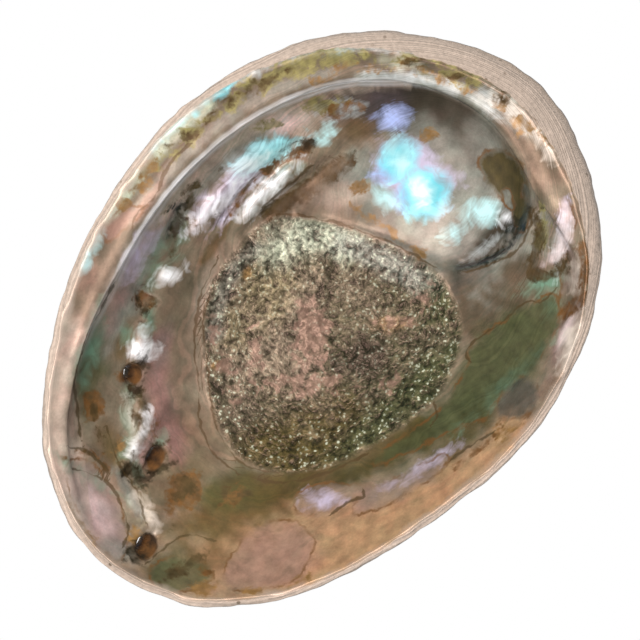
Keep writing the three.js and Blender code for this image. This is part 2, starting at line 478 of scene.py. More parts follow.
# The free edge, the muscle scar, the crest of the inner lip and the row of holes, as lines on the plan
RIM_EDGE = path(
    (89.7, 0), (80.6, -29.3), (60.5, -50.8), (35.9, -62.1), (11.6, -66), (-11.2, -63.5), (-33.9, -58.7),
    (-58.7, -49.2), (-81.4, -29.6), (-90, 0), (-78.5, 28.6), (-55.8, 46.9), (-33.4, 57.8), (-11.2, 63.4),
    (11.5, 65.3), (35.1, 60.8), (59.1, 49.6), (78.7, 28.6), closed=True,
)
SCAR_EDGE = path(
    (-14, 25.5), (0, 27.5), (11.5, 26.5), (16.5, 21), (22, 12), (27, 1), (30, -8), (31.5, -15.5), (30, -23),
    (25, -32), (15, -38), (4, -40), (-11, -37), (-25, -32), (-35, -25), (-41, -16), (-41, -7), (-37, 3),
    (-31, 11), (-23, 19), closed=True,
)
CREST_LINE = path(
    (-68, 24), (-63, 30), (-57, 36.5), (-46, 41.5), (-31, 46), (-21, 49), (0, 52), (20, 50.5), (34, 46.5),
    (48, 39.5), (59.4, 29.4), (67.4, 18.4), (71.4, 6), (71.4, -5.5), (68.8, -15.8), (62.4, -24.4), (55, -28),
)
HOLE_ROW = path((-66, 6), (-56, 12), (-45, 25), (-30, 35), (-8, 41), (12, 37), (30, 33))

# Marks in the order that they are laid on: broad shades of the floor first
FLOOR_MARKS: tuple[SoftMark, ...] = (
    Bloom((-54, -37), (34, 15), -32, Tint.PEACH, 0.85, 0.5),
    Streak(path((-62, -44), (-42, -51), (-20, -57), (0, -61), (14, -62)), 12, Tint.PEACH, 0.95),
    Bloom((-57, -37), (12, 8), -30, Tint.ROSE, 0.6, 0.5),
    Bloom((-54, -5), (13, 11), 20, Tint.TAN, 0.55, 0.8),
    Bloom((-52, -21), (19, 7), -28, Tint.TAN, 0.98, 0.5),
    Bloom((-44, -24), (9, 4), -40, Tint.TAN, 0.7, 0.6),
    Bloom((-50, -16), (7, 5), -30, Tint.FERN, 0.9, 0.6),
    Bloom((38, -32), (17, 9), -18, Tint.TAUPE, 0.95, 0.35),
    Bloom((42, -58), (9, 3), 28, Tint.CREAM, 0.6, 0.6),
    Bloom((57.6, -44.8), (5, 1.6), 38, Tint.CREAM, 0.8, 0.6),
    Bloom((-16, 26), (7, 2), 24, Tint.BONE, 0.5, 0.7),
    Bloom((-31, -30), (9, 3), -40, Tint.DUSK, 0.75, 0.7),
    Bloom((26, -46), (30, 9), -3, Tint.FERN, 0.7, 0.4),
    Bloom((-3, -44), (20, 4.5), -14, Tint.FERN, 0.75, 0.5),
    Bloom((5, -52), (12, 4), -4, Tint.OLIVE, 0.8, 0.6),
    Streak(path((-54, -15), (-46, -20), (-34, -30), (-20, -36.5), (-4, -42)), 9, Tint.OLIVE, 0.8),
    Streak(path((-48, -10), (-45, 4), (-38, 14), (-28, 21), (-12, 29)), 7, Tint.TAUPE, 0.45, 0.8),
    Bloom((-28, 27), (15, 5), 32, Tint.TAUPE, 0.55, 0.7),
    Bloom((24, 22), (15, 5), -12, Tint.TAUPE, 0.75, 0.6),
    Bloom((38, 15), (8, 7), -20, Tint.GREY, 0.75, 0.6),
)
# The hollow under the spire, with painted shade under the crest and painted highlights and flashes, and the
# fold at its lower side with its painted shadow and highlight
SPIRE_MARKS: tuple[SoftMark, ...] = (
    Bloom((48, -3), (20, 26), 0, Tint.GREY, 0.95, 0.3),
    # Slate, dusk and plum: painted shade under the overhanging crest
    Bloom((64, 14), (10, 20), 20, Tint.SLATE, 0.9, 0.4),
    Bloom((60, 22), (9, 8), -50, Tint.DUSK, 0.9, 0.6),
    Bloom((52, 29), (13, 6), -32, Tint.PLUM, 0.9, 0.5),
    Bloom((57, 8), (5, 8), 10, Tint.GREY, 0.7, 0.6),
    Bloom((28.6, 16.4), (6, 3.6), -40, Tint.BONE, 0.6, 0.6),
    Bloom((37, 7), (3, 4), 0, Tint.SKY, 0.7, 0.6),
    Bloom((30, 2), (4, 12), 14, Tint.TAUPE, 0.5, 0.7),
    Bloom((67, -1), (6, 4), 80, Tint.GREY, 0.8, 0.4),
    Bloom((47, 11.8), (6.4, 5.6), 20, Tint.AQUA, 0.98, 0.3, 0.2),
    Bloom((41.4, 12), (3, 3.6), 30, Tint.BLUE, 0.75, 0.6),
    Bloom((48, 15), (3.4, 1.6), 40, Tint.SKY, 0.8, 0.6),
    Bloom((45, 0.4), (7.6, 7), -12, Tint.AQUA, 0.98, 0.3, 0.2),
    Bloom((40, 4), (4, 3), 20, Tint.BLUE, 0.5, 0.7),
    Bloom((46.5, 6), (12.6, 8.4), 84, Tint.LILAC, 0.8, 0.6),
    Bloom((44.4, 1), (4.8, 3.8), 60, Tint.SKY, 0.9, 0.6),
    Bloom((47.6, 11), (4, 2.8), 30, Tint.SKY, 0.8, 0.6),
    Bloom((44.5, 1.2), (2.6, 2), 60, Tint.HIGHLIGHT, 0.95, 0.7),
    Streak(path((39, 8.5), (44, 7.6), (49, 8.8)), 1.2, Tint.MAUVE, 0.7),
    Bloom((54, 20.5), (5, 3.2), -35, Tint.BLUE, 0.9, 0.5),
    Bloom((54, 20.5), (2.4, 1.4), -35, Tint.LILAC, 0.9, 0.7),
    Bloom((52, -0.5), (2.6, 5), 10, Tint.LILAC, 0.75, 0.5),
    Bloom((52, -14.8), (5, 3.6), -35, Tint.SKY, 0.95, 0.4),
    Bloom((43, -12.4), (4, 2), -20, Tint.SKY, 0.6, 0.7),
    Bloom((55.4, -20), (2, 1.6), 40, Tint.HIGHLIGHT, 0.95, 0.5),
    Bloom((59.5, -17.5), (3.4, 2.2), 45, Tint.GREY, 0.9, 0.25, 0.05),
    Bloom((57.5, 10.5), (2.4, 1.8), -30, Tint.GOLD),
    Bloom((34, 14), (2.6, 1.4), -40, Tint.GOLD),
    Bloom((45, 26), (5, 3), -40, Tint.TAN, 0.7, 0.6),
    # Painted shadow under the fold, and a painted highlight along its top
    Streak(path((34, -21.6), (42, -22), (49, -22.4), (56, -22)), 7, Tint.SLATE, 0.95, 0.8),
    Streak(path((45, -20.6), (50, -20.8), (55, -22.4)), 3, Tint.DUSK, 0.9, 0.8),
    Streak(path((36, -21), (43, -24.4), (50, -26), (56, -25.4)), 1.1, Tint.DEEP_SHADE),
    Bloom((55, -24), (2.8, 2), 30, Tint.DEEP_SHADE),
    Streak(path((38, -19.6), (44, -21.6), (50, -22.8)), 0.7, Tint.MIST, 0.7),
    Streak(path((28.6, 13), (30.6, 4), (31.8, -4), (32.6, -10)), 1.5, Tint.GOLD),
)
# The row of breathing holes, with stains, painted shade in its pits, and painted highlights and flashes on
# its ridges
ROW_MARKS: tuple[SoftMark, ...] = (
    Streak(path((-66, 14), (-54, 28), (-36, 39), (-18, 45), (0, 48), (20, 47), (38, 42), (50, 34)), 11,
           Tint.TAUPE, 0.35),
    Streak(path((-46, 37), (-30, 42), (-16, 46.6), (0, 48), (16, 46.8), (30, 43)), 8, Tint.GREY, 0.9),
    # The bone bands and oval that follow: painted light on the upper wall just under the crest
    Streak(path((-44, 41), (-30, 45), (-20, 47.8), (0, 50), (20, 48.8), (30, 46), (39, 42.6)), 5,
           Tint.BONE, 0.95),
    Streak(path((39.6, 43.2), (50.7, 36.6), (58.8, 29.4), (63.4, 24)), 2.2, Tint.BONE, 0.9),
    Bloom((35, 39.6), (7, 5), -30, Tint.BONE, 0.9, 0.5),
    Bloom((-20, 46.4), (8, 2.6), 14, Tint.LILAC, 0.8, 0.5),
    Bloom((-28, 43), (6, 2.4), 24, Tint.MAUVE, 0.8, 0.6),
    Bloom((-38, 40), (7, 2.4), 24, Tint.MAUVE, 0.6, 0.6),
    Bloom((-52, 35), (12, 5), 32, Tint.FERN, 0.7, 0.5),
    Bloom((-48, 38), (9, 2.4), 28, Tint.TEAL, 0.5, 0.6),
    Bloom((-18, 41.5), (6, 1.6), 20, Tint.TEAL, 0.7, 0.5),
    Bloom((33, 41), (5, 2.4), -30, Tint.PINK, 0.5, 0.6),
    Bloom((11.5, 39.8), (14, 3.6), -3, Tint.LILAC, 0.95, 0.35),
    Bloom((5, 39.6), (9, 2.2), -2, Tint.HIGHLIGHT, 0.95, 0.5),
    Bloom((-9, 41), (6, 2.6), 12, Tint.TAUPE, 0.6, 0.5),
    Bloom((24.4, 39.2), (8.4, 3.4), -20, Tint.AQUA, 0.95, 0.4),
    Bloom((21.4, 39.6), (7, 3), -16, Tint.SKY, 0.9, 0.5),
    Bloom((18.6, 40.4), (3.4, 1.6), -16, Tint.HIGHLIGHT, 0.9, 0.5),
    Bloom((16, 43.4), (4.4, 2.4), 10, Tint.MIST, 0.9, 0.5),
    Bloom((26.6, 36.6), (5, 2), -16, Tint.SKY, 0.9, 0.5),
    Bloom((30, 44), (3.4, 1.3), -24, Tint.MOSS),
    Bloom((44, 37), (5, 2), -36, Tint.MOSS),
    Bloom((46, 33), (5, 2), -40, Tint.MIST, 0.4, 0.6),
    Bloom((47, 32), (4, 1.6), -40, Tint.RUST),
    Streak(path((4, 34.8), (10, 36.4), (16, 36.6), (25, 34), (33, 32)), 1.7, Tint.RUST),
    Streak(path((-10, 32), (-2, 33), (5, 34.5)), 2.4, Tint.TAN, 0.7),
    Bloom((27, 34), (7, 1.6), -14, Tint.TAN, 0.7, 0.4),
    Bloom((34, 32.6), (2.6, 1.8), -20, Tint.DEEP_SHADE),
    Bloom((38, 31), (3, 1.6), -20, Tint.SKY, 0.8, 0.6),
    Bloom((15.6, 32.2), (10, 2.6), -4, Tint.HIGHLIGHT, 0.95, 0.4),
    Bloom((5, 36.4), (6, 1.8), 6, Tint.LILAC, 0.9, 0.5),
    Streak(path((11, 31.6), (20, 31), (28, 30)), 0.9, Tint.TEAL, 0.7),
    Streak(path((12, 27.4), (20, 25.6), (28, 24.2), (38, 22)), 5, Tint.UMBER),
    Bloom((-19, 36), (4, 1.8), -25, Tint.HIGHLIGHT, 0.9, 0.6),
    Bloom((-39, 27), (4, 3), -20, Tint.HIGHLIGHT, 0.98, 0.6),
    Streak(path((-34, 31), (-36.6, 29.6), (-38, 28)), 2, Tint.MIST, 0.8),
    Bloom((-31, 32), (5, 1.4), 36, Tint.TEAL, 0.6, 0.5),
    Streak(path((-35, 26), (-42, 19), (-49, 10), (-52, 3)), 7, Tint.WINE, 0.8, 0.8),
    Bloom((-35, 24), (6, 2.4), 30, Tint.MAUVE, 0.6, 0.6),
    Streak(path((-48.6, 23), (-54, 18.5), (-58, 13.5), (-63, 11)), 2.6, Tint.TEAL, 0.7),
    Streak(path((-51, 22), (-54, 17.5), (-58, 12.8), (-62, 10.8)), 1.2, Tint.CREAM, 0.95),
    Streak(path((-50, 15), (-54, 12), (-61, 10.6)), 2.2, Tint.HIGHLIGHT, 0.95),
    Bloom((-57, 8.4), (5, 2), 14, Tint.MAUVE, 0.9, 0.5),
    Streak(path((-67, 11), (-70, 3), (-71.5, -3)), 2.6, Tint.GREY, 0.75),
    Bloom((-64, 15), (7, 3.4), 60, Tint.TAN, 0.8, 0.6),
    Streak(path((-69, 2), (-69.6, -4), (-73, -9)), 2, Tint.CREAM, 0.7),
    Bloom((-59, 27), (4.6, 3.6), 30, Tint.RUST),
    Bloom((-60, 25), (2, 1.4), 60, Tint.UMBER),
    Bloom((-63, 21), (2.4, 1.2), 60, Tint.UMBER),
    Bloom((-64.5, 6), (4.4, 2.8), 100, Tint.DEEP_SHADE),
    Bloom((-61, 3), (4.4, 1.4), -24, Tint.DEEP_SHADE),
    Bloom((-56, 4.8), (4, 2.4), 30, Tint.UMBER),
    Bloom((-52, 10), (2.4, 1.2), 60, Tint.RUST),
    Bloom((-62, 14), (2.4, 1.4), 50, Tint.GOLD),
    Bloom((-46.5, 26.4), (2.6, 2), 40, Tint.RUST),
    Bloom((-44.5, 23.6), (4.4, 1.8), 28, Tint.DEEP_SHADE),
    Bloom((-28.5, 36.6), (3.4, 2.6), 40, Tint.RUST),
    Bloom((-30.5, 35), (1.4, 3), -20, Tint.DEEP_SHADE),
    Bloom((-26, 36), (1.2, 2.4), -30, Tint.UMBER),
    Bloom((-6.6, 44.4), (4.8, 1.7), 26, Tint.DEEP_SHADE),
    Bloom((-1, 45.3), (2.6, 1.2), 10, Tint.UMBER),
    Bloom((4, 47.6), (4.4, 0.9), -8, Tint.UMBER),
    Bloom((-41, 32.8), (4.4, 1.8), 30, Tint.TAN, 0.7, 0.6),
    *Scatter(HOLE_ROW, 8, 20, 2, Tint.UMBER, 11).blooms(),
    *Scatter(HOLE_ROW, 9, 14, 2.6, Tint.TEAL, 13).blooms(),
)
# The front end, with its pocket, its holes, painted shade in its open hole, and its rusty spots
FRONT_MARKS: tuple[SoftMark, ...] = (
    Bloom((-78, 7), (12, 4), 76, Tint.MAUVE, 0.7, 0.35),
    Bloom((-80, 9), (10, 3.4), 76, Tint.PINK, 0.85, 0.8),
    Bloom((-74, 14), (8, 1.6), 105, Tint.TEAL, 0.7, 0.6),
    Bloom((-83, -5), (5, 2.4), 100, Tint.GREY, 0.7, 0.6),
    Bloom((-85.5, -12), (4, 1.4), 110, Tint.SLATE, 0.6, 0.6),
    Streak(path((-75.5, 22.5), (-70.5, 21.5), (-68.4, 16), (-70.4, 9)), 1.3, Tint.RUST),
    Streak(path((-83.5, 15.5), (-84, 11.5), (-85.5, 5.5), (-87, 1)), 1.4, Tint.GOLD),
    Bloom((-77, -5.6), (2.8, 1.5), 50, Tint.GOLD),
    Bloom((-79.5, -9.5), (4.2, 2.8), -25, Tint.DEEP_SHADE),
    Bloom((-75, -11), (3.6, 1.1), -5, Tint.UMBER),
    Bloom((-59, -7), (6, 5), 0, Tint.RUST),
    Bloom((-58.6, -6.6), (3.8, 3.2), 0, Tint.UMBER),
    *Scatter(path((-65, -6), (-59, -8), (-53, -7)), 7, 12, 2, Tint.RUST, 6).blooms(),
    Bloom((-51.5, -17.5), (4.4, 2.4), -18, Tint.RUST),
    Bloom((-53, -15.6), (3.4, 2), -18, Tint.UMBER),
    Bloom((-48, -20), (3, 1.4), -40, Tint.UMBER),
    Bloom((-78, -17), (7, 3.6), -14, Tint.FERN, 0.6, 0.6),
    Bloom((-73, -21.5), (6.6, 1.8), -12, Tint.UMBER),
    Bloom((-75.5, -28), (4, 2.2), -28, Tint.GOLD),
    Bloom((-71, -26), (2.6, 2), -28, Tint.RUST),
    Bloom((-66, -14), (9, 2), -30, Tint.TAN, 0.6, 0.6),
    Bloom((-67, -25), (7, 4), -50, Tint.TAN, 0.7, 0.6),
)
# The lower side, below the scar, with a painted highlight at its right
LOWER_MARKS: tuple[SoftMark, ...] = (
    Bloom((-35, -36.5), (4.4, 2.6), -50, Tint.LILAC, 0.75, 0.6),
    Bloom((-11, -50), (6, 1), -16, Tint.LILAC, 0.6, 0.6),
    Streak(path((-68, -38), (-60, -45.5), (-52, -47.5)), 1.3, Tint.GOLD),
    Streak(path((-4, -57), (6, -58.4), (13, -58.6)), 1.3, Tint.RUST),
    Bloom((12, -59.4), (3.6, 1.8), -16, Tint.GOLD),
    Bloom((22, -51), (12, 1.8), -4, Tint.TEAL, 0.5, 0.5),
    Bloom((43, -54), (10, 2.2), 20, Tint.MAUVE, 0.7, 0.6),
    Bloom((44, -53.4), (4.4, 1.2), 18, Tint.PINK, 0.8, 0.6),
    Bloom((50, -40.4), (6, 2.4), -16, Tint.TEAL, 0.9, 0.5),
    Bloom((46.5, -45.4), (4.4, 1.5), 40, Tint.TEAL, 0.9, 0.5),
    Streak(path((65, -41.6), (59, -47), (53.5, -50.4), (47, -50)), 3, Tint.RUST),
    Streak(path((62.4, -24.5), (58.6, -30), (54, -32.2), (50, -34), (49, -37), (53, -40), (58, -40.2)), 3,
           Tint.UMBER),
    Streak(path((65, -25), (61, -29.4), (57, -31.6)), 3, Tint.MOSS),
    Bloom((61, -36), (5, 1.6), 33, Tint.HIGHLIGHT, 0.9, 0.6),
    Bloom((66, -32), (3, 1), 33, Tint.LILAC, 0.7, 0.6),
)
# The shelf of the inner lip, outside the crest, with painted highlights and flashes along its edges
SHELF_MARKS: tuple[SoftMark, ...] = (
    Streak(path((-20, 53), (0, 57), (22, 56), (42, 49), (60, 35), (73, 12), (75, -10)), 13, Tint.TAUPE, 0.5),
    Streak(path((-46, 46), (-34, 49.6), (-20, 53)), 12, Tint.TAUPE, 0.4),
    Streak(path((-84, 10), (-76, 25), (-64, 37.6), (-52, 44.4)), 13, Tint.BONE, 0.75),
    Streak(path((-14, 54), (4, 55.4), (22, 54), (38, 49.5), (52, 41.5)), 3.4, Tint.GREY, 0.5),
    Bloom((-28, 56.6), (5.5, 1.6), 16, Tint.SKY, 0.85, 0.5),
    Bloom((-18, 56), (6, 2), 8, Tint.ROSE, 0.8, 0.4),
    Bloom((-35, 52), (5, 2.2), 20, Tint.ROSE, 0.6, 0.5),
    Bloom((-8, 54), (7, 1.6), 6, Tint.ROSE, 0.7, 0.5),
    Streak(path((-4, 62.8), (8, 63), (18, 61.8)), 1.4, Tint.SKY, 0.6),
    Streak(path((19, 61.4), (25, 60.6), (31, 59)), 1.3, Tint.AQUA, 0.98),
    Streak(path((31, 59), (42, 54.6), (54, 47), (64, 38), (72, 27)), 1.1, Tint.MIST, 0.6),
    Streak(path((56, 34.6), (65, 24.4), (71.4, 13), (73.6, 2)), 4, Tint.GREY, 0.8),
    Streak(path((72.4, 2), (72.4, -8), (70, -16), (65, -23)), 5, Tint.TAUPE, 0.75),
    Streak(path((78, 4), (78.4, -4), (77.6, -12), (76, -18)), 3.4, Tint.CREAM, 0.6),
    Streak(path((-18, 59.6), (-4, 61), (10, 61.2), (22, 59.6)), 4, Tint.DEW, 0.75),
    Streak(path((58, 34), (66.4, 23.4), (72.4, 11), (74, 0)), 1.4, Tint.MIST, 0.7),
    Bloom((77, 4), (5, 1.6), -75, Tint.MIST, 0.7, 0.6),
    Bloom((67, 29), (5, 2), -55, Tint.DEW, 0.6, 0.6),
    Bloom((76, -4), (6, 2), -85, Tint.GREY, 0.7, 0.6),
    Bloom((57, 44), (4, 1), -40, Tint.TEAL, 0.8, 0.5),
    Bloom((78.5, 2), (2.4, 1), -75, Tint.TEAL, 0.9, 0.5),
    *Scatter(path((-18, 57), (-6, 59), (4, 60)), 4, 12, 2.6, Tint.GOLD, 1).blooms(),
    *Scatter(path((0, 58.6), (14, 57.6), (30, 55.6), (44, 51), (54, 44.6)), 3.6, 44, 3.4,
             Tint.MOSS, 2).blooms(),
    *Scatter(path((4, 58), (20, 56.8), (34, 54.2), (46, 49)), 3.6, 22, 2.4, Tint.UMBER, 3).blooms(),
    *Scatter(path((54, 44.6), (64, 35), (72, 22), (77, 9)), 4.4, 24, 3, Tint.MOSS, 4).blooms(),
    *Scatter(path((62, 37.4), (70, 25), (75, 14), (78, 4)), 3.6, 14, 2.2, Tint.UMBER, 7).blooms(),
    *Scatter(path((46, 44.6), (60, 35), (70.6, 20.6), (75.4, 6), (77, -8), (75.6, -20)), 4, 20, 2.4,
             Tint.GOLD, 8).blooms(),
    Bloom((47, 40.4), (2.4, 1), -36, Tint.GOLD),
    Bloom((78.4, -13), (5, 1.8), -80, Tint.GOLD),
    Bloom((76.6, -4), (2.6, 1.2), -85, Tint.GOLD),
    Bloom((72, -19), (5, 2.4), -70, Tint.TAUPE, 0.7, 0.6),
)
# The muscle scar; the pale streaks along its upper right are painted highlights on its raised edge
SCAR_MARKS: tuple[SoftMark, ...] = (
    Bloom((-8, -6), (46, 40), -10, Tint.TAUPE, 0.95, 0.3),
    Bloom((-4, -10), (36, 30), -10, Tint.FERN, 0.4, 0.5, 0.6),
    Bloom((-26, -21), (18, 11), -30, Tint.OLIVE, 0.85, 0.6),
    Bloom((-12, 3), (20, 14), 20, Tint.BEIGE, 0.8, 0.7, 0.5),
    Bloom((-4, 14), (14, 6), 10, Tint.MOSS, 0.25, 0.7, 0.5),
    Streak(path((7, 18.5), (12, 17.4), (16.6, 14), (20, 7)), 10, Tint.DEW, 0.7, 0.7),
    Streak(path((20, 7), (22.6, 0), (25.6, -10), (28, -18)), 7, Tint.GREY, 0.7, 0.7),
    Streak(path((-22, 16), (-10, 23), (2, 24)), 4, Tint.GREY, 0.4, 0.7),
    Bloom((1.6, -17), (9, 5), -14, Tint.DUSK, 0.9, 0.6, 0.5),
    Bloom((13, -17.4), (5, 2), -40, Tint.PEACH, 0.7, 0.5),
    Bloom((0, -34), (26, 5), -3, Tint.FERN, 0.8, 0.6),
    Bloom((26, -22), (6, 5), 60, Tint.FERN, 0.7, 0.6),
    Bloom((-28, 10), (1.6, 1), 0, Tint.GOLD),
    Bloom((-4, 21), (2, 1), 30, Tint.GOLD),
)
MARKS: tuple[tuple[Zone, tuple[SoftMark, ...]], ...] = (
    (Zone.ANY, FLOOR_MARKS), (Zone.FLOOR, SPIRE_MARKS), (Zone.FLOOR, ROW_MARKS), (Zone.ANY, FRONT_MARKS),
    (Zone.ANY, LOWER_MARKS), (Zone.SCAR, SCAR_MARKS), (Zone.SHELF, SHELF_MARKS),
)
# Patches with outlines of their own
PATCHES: tuple[Patch, ...] = (
    Patch(path(
        (49, -43.5), (47, -48), (43, -51), (37, -52.5), (31.5, -54), (24, -53), (16.5, -53), (12.5, -54),
        (7.5, -51.5), (0.5, -48.5), (-9.5, -44.5), (-18.5, -40), (-12, -39.4), (2, -42.6), (8.5, -42.5),
        (15.5, -41), (20, -39.5), (22, -37.5), (30, -38), (39, -40.5), closed=True,
    ), Tint.FERN),
    Patch(path(
        (-83, -16), (-77.5, -15), (-73, -18.5), (-70, -23), (-69, -27), (-72, -29), (-78, -27), (-82.5, -22),
        closed=True,
    ), Tint.FERN),
    Patch(path((16, -53.5), (21, -52), (26.5, -53.5), (28, -56), (26, -59.5), (22, -61), (18, -60.5),
               (14.5, -57), closed=True), Tint.SLATE),
    Patch(path((-25, -42.5), (-17.5, -46.5), (-8.5, -50), (-3, -52), (-3.5, -54), (-10, -54), (-17, -52.5),
               (-24.5, -50), (-30.5, -46.5), (-31.5, -44), closed=True), Tint.MAUVE),
    Patch(path((-39, -30.5), (-34.5, -31.5), (-30.5, -34.5), (-25.5, -41), (-26, -44), (-32, -41),
               (-36.5, -40), (-40.5, -37), (-42.5, -33.5), closed=True), Tint.MAUVE),
    Patch(path((-76, 21.5), (-72, 20), (-70.5, 16.5), (-71, 11), (-72.5, 5), (-76, -1), (-80, -5.5),
               (-84.5, -7), (-86, -3), (-85.5, 4), (-83, 11), (-80, 17), closed=True), Tint.MAUVE),
    Patch(path((50.5, -45), (57, -40.5), (61.5, -39.5), (61, -43), (56, -47), (52, -48),
               closed=True), Tint.MAUVE),
    Patch(path((-64.5, -29), (-58.5, -28), (-51.5, -28.5), (-47, -31.5), (-44, -36), (-44, -40.5),
               (-47, -44), (-51.5, -45.5), (-57.5, -45), (-63, -41.5), (-68.5, -36.5), (-70, -32),
               closed=True), Tint.ROSE),
    Patch(path((-23.5, 54), (-22, 58), (-16, 58), (-12, 56.4), (-9, 53.6), (-16, 53),
               closed=True), Tint.ROSE),
    Patch(path((52.5, -36), (59, -35), (64, -31.5), (68, -28.5), (70, -29), (69, -33), (64.5, -37),
               (59.5, -39), (54, -38.4), closed=True), Tint.PINK),
    Patch(path((59, -8), (63, -4), (68, -7), (69, -12), (66.5, -18), (62.5, -22.5), (57, -26), (54.5, -25.5),
               (57, -21), (58.5, -15), closed=True), Tint.OLIVE),
    Patch(path((60.5, -17.5), (61.5, -15.5), (60, -15), (58, -17.5), (57.5, -20), (59, -20),
               closed=True), Tint.GREY),
    Patch(path((65.4, -17.4), (64.6, -20), (62.6, -21), (62.4, -19.6), closed=True), Tint.GREY),
)
# How much each colour of patch covers; which colours are stains and painted shade; and which are painted
# highlights and iridescent flashes of the pearl, teal also for its own greenish patches
PATCH_TINTS: dict[Tint, float] = {
    Tint.FERN: 0.75, Tint.SLATE: 0.8, Tint.MAUVE: 0.35, Tint.ROSE: 0.5, Tint.PINK: 0.6, Tint.OLIVE: 0.92,
    Tint.GREY: 0.8,
}
STAIN_AND_SHADE_TINTS = (Tint.MOSS, Tint.GOLD, Tint.RUST, Tint.UMBER, Tint.DEEP_SHADE)
PAINTED_FLASH_TINTS = (
    Tint.TEAL, Tint.MIST, Tint.CREAM, Tint.LILAC, Tint.BLUE, Tint.AQUA, Tint.SKY, Tint.HIGHLIGHT,
)
# Smooth rosy flats of the scar
SCAR_FLATS: tuple[Bloom, ...] = (
    Bloom((-4, -3), (9.5, 5), 43, Tint.ROSE),
    Bloom((-15.6, -10.3), (11, 3), -47, Tint.ROSE),
    Bloom((-21.5, 17.4), (3.4, 1.6), 43, Tint.ROSE),
    Bloom((-18, 5.4), (4.6, 1.8), 43, Tint.ROSE),
    Bloom((-26, 8.6), (3.8, 2), 60, Tint.ROSE),
    Bloom((-30, 2), (3, 1.6), 60, Tint.ROSE),
    Bloom((24.4, -19), (3.2, 1.8), 40, Tint.ROSE),
    Bloom((14, -18), (4.6, 1.6), -40, Tint.ROSE),
    Bloom((0.5, -28), (2, 1.2), 0, Tint.ROSE),
)
# The open holes, on the pearly side and on the back; their insides are painted dark as shade, with rust
HOLE_MOUTHS: tuple[Bloom, ...] = (
    Bloom((-78.5, -9.5), (3.8, 2.9), 25, Tint.DEEP_SHADE),
    Bloom((-60, 5.5), (3.9, 2.5), 15, Tint.DEEP_SHADE),
    Bloom((-47, 26), (3.2, 2.5), 40, Tint.DEEP_SHADE),
)
HOLE_EXITS: tuple[Bloom, ...] = (
    Bloom((-80.3, -5.7), (2, 1.6), 25, Tint.DEEP_SHADE),
    Bloom((-61.1, 9.6), (2, 1.4), 15, Tint.DEEP_SHADE),
    Bloom((-49.7, 29.2), (1.8, 1.4), 40, Tint.DEEP_SHADE),
)
# Thin brown lines
DARK_LINES: tuple[Path, ...] = (
    path((20, -39.5), (20.5, -38), (24, -37), (32, -38.7), (42, -40), (45, -43), (50, -43.3)),
    path((0.5, -44), (3, -43.6), (4.5, -41)),
    path((-36, -40.5), (-30, -42), (-27, -44), (-26, -43)),
    path((-3, -54.6), (3, -55.6), (10, -57.6)),
    path((-80, -13), (-70, -14.5), (-66, -17), (-63.5, -22)),
    path((2, 35), (9, 36), (15, 37.4), (22, 35.8), (31, 33.6)),
    path((12, 30), (20, 29.2), (29, 28)),
    path((-16, 52.5), (-12, 54), (-6, 53.6), (3, 56.6), (11, 56.4)),
    path((-71.5, 24), (-69, 19), (-69.4, 12)),
    path((12, 27.4), (16.5, 22.4), (22.5, 12.8), (27.6, 1.6), (30.6, -8), (32.2, -16)),
    path((-6.5, 29.5), (-16, 26.5), (-22.5, 22.5), (-28.5, 17.5), (-34.5, 10.5), (-42, 3), (-46, -6),
         (-45.5, -15)),
    path((-45.5, -15), (-40, -24), (-30, -31.5), (-18, -36.4)),
    path((-12, 26), (-21, 21.4), (-26, 16), (-30.6, 10.6), (-38, 2), (-42.4, -7), (-42, -16), (-35, -26)),
    path((62, -24.6), (55, -28), (49, -28.4), (43, -26), (37, -22.4)),
    path((-67.6, 23.6), (-62.5, 29.5), (-56.5, 36), (-45.6, 41), (-31, 45.4)),
    path((-61, 20), (-66, 10), (-68, 2), (-73, -6)),
    path((-75, 19), (-71.5, 9), (-76, -2), (-81, -5)),
)
# Small ridges and grooves of the floor
FLOOR_RIDGES: tuple[Ridge, ...] = (
    Ridge(path((-66.5, 10.4), (-60, 10.8), (-54.5, 13.4), (-49, 18.5)), 1.3, 1.3),
    Ridge(path((-43, 26.5), (-38, 28.5), (-32, 32.5)), 1.7, 0.9),
    Ridge(path((-23, 35.5), (-18, 37.5)), 2, 0.9),
    Ridge(path((-6, 39), (6, 40.8), (18, 42), (29, 39)), 2, 0.9),
    Ridge(path((6, 31.5), (16, 33), (25, 31.6)), 1.4, 1),
    Ridge(path((0, 35.3), (15, 37), (32, 35)), 0.9, -0.8),
    Ridge(path((4, 28.4), (20, 27.4), (38, 24)), 1.5, -0.9),
    Ridge(path((17, 21.5), (22.6, 12), (27.6, 1), (31, -9), (32, -17)), 1, 0.6),
    Ridge(path((36, -21.5), (43, -25.8), (50, -28), (56, -27.4), (62, -24)), 1.3, 1),
    Ridge(path((38, -20), (44, -23.4), (50, -25.4)), 1.1, -0.9),
    Ridge(path((52.5, -25.5), (53.5, -24.5)), 1.5, 1.1),
    Ridge(path((-70, 20), (-69.5, 10), (-72, -1)), 1.5, 0.7),
    Ridge(path((-78, -2.5), (-74, -6), (-68, -6)), 1.3, 0.6),
    Ridge(path((-9.5, 43.4), (-4, 45.8)), 1.7, -1.4),
    Ridge(path((-30, 36.5), (-27, 38.5)), 1.7, -1.3),
    Ridge(path((-49, 23), (-44, 25.5)), 1.9, -0.8),
    Ridge(path((-67, 6.5), (-62, 4)), 1.7, -1.2),
)


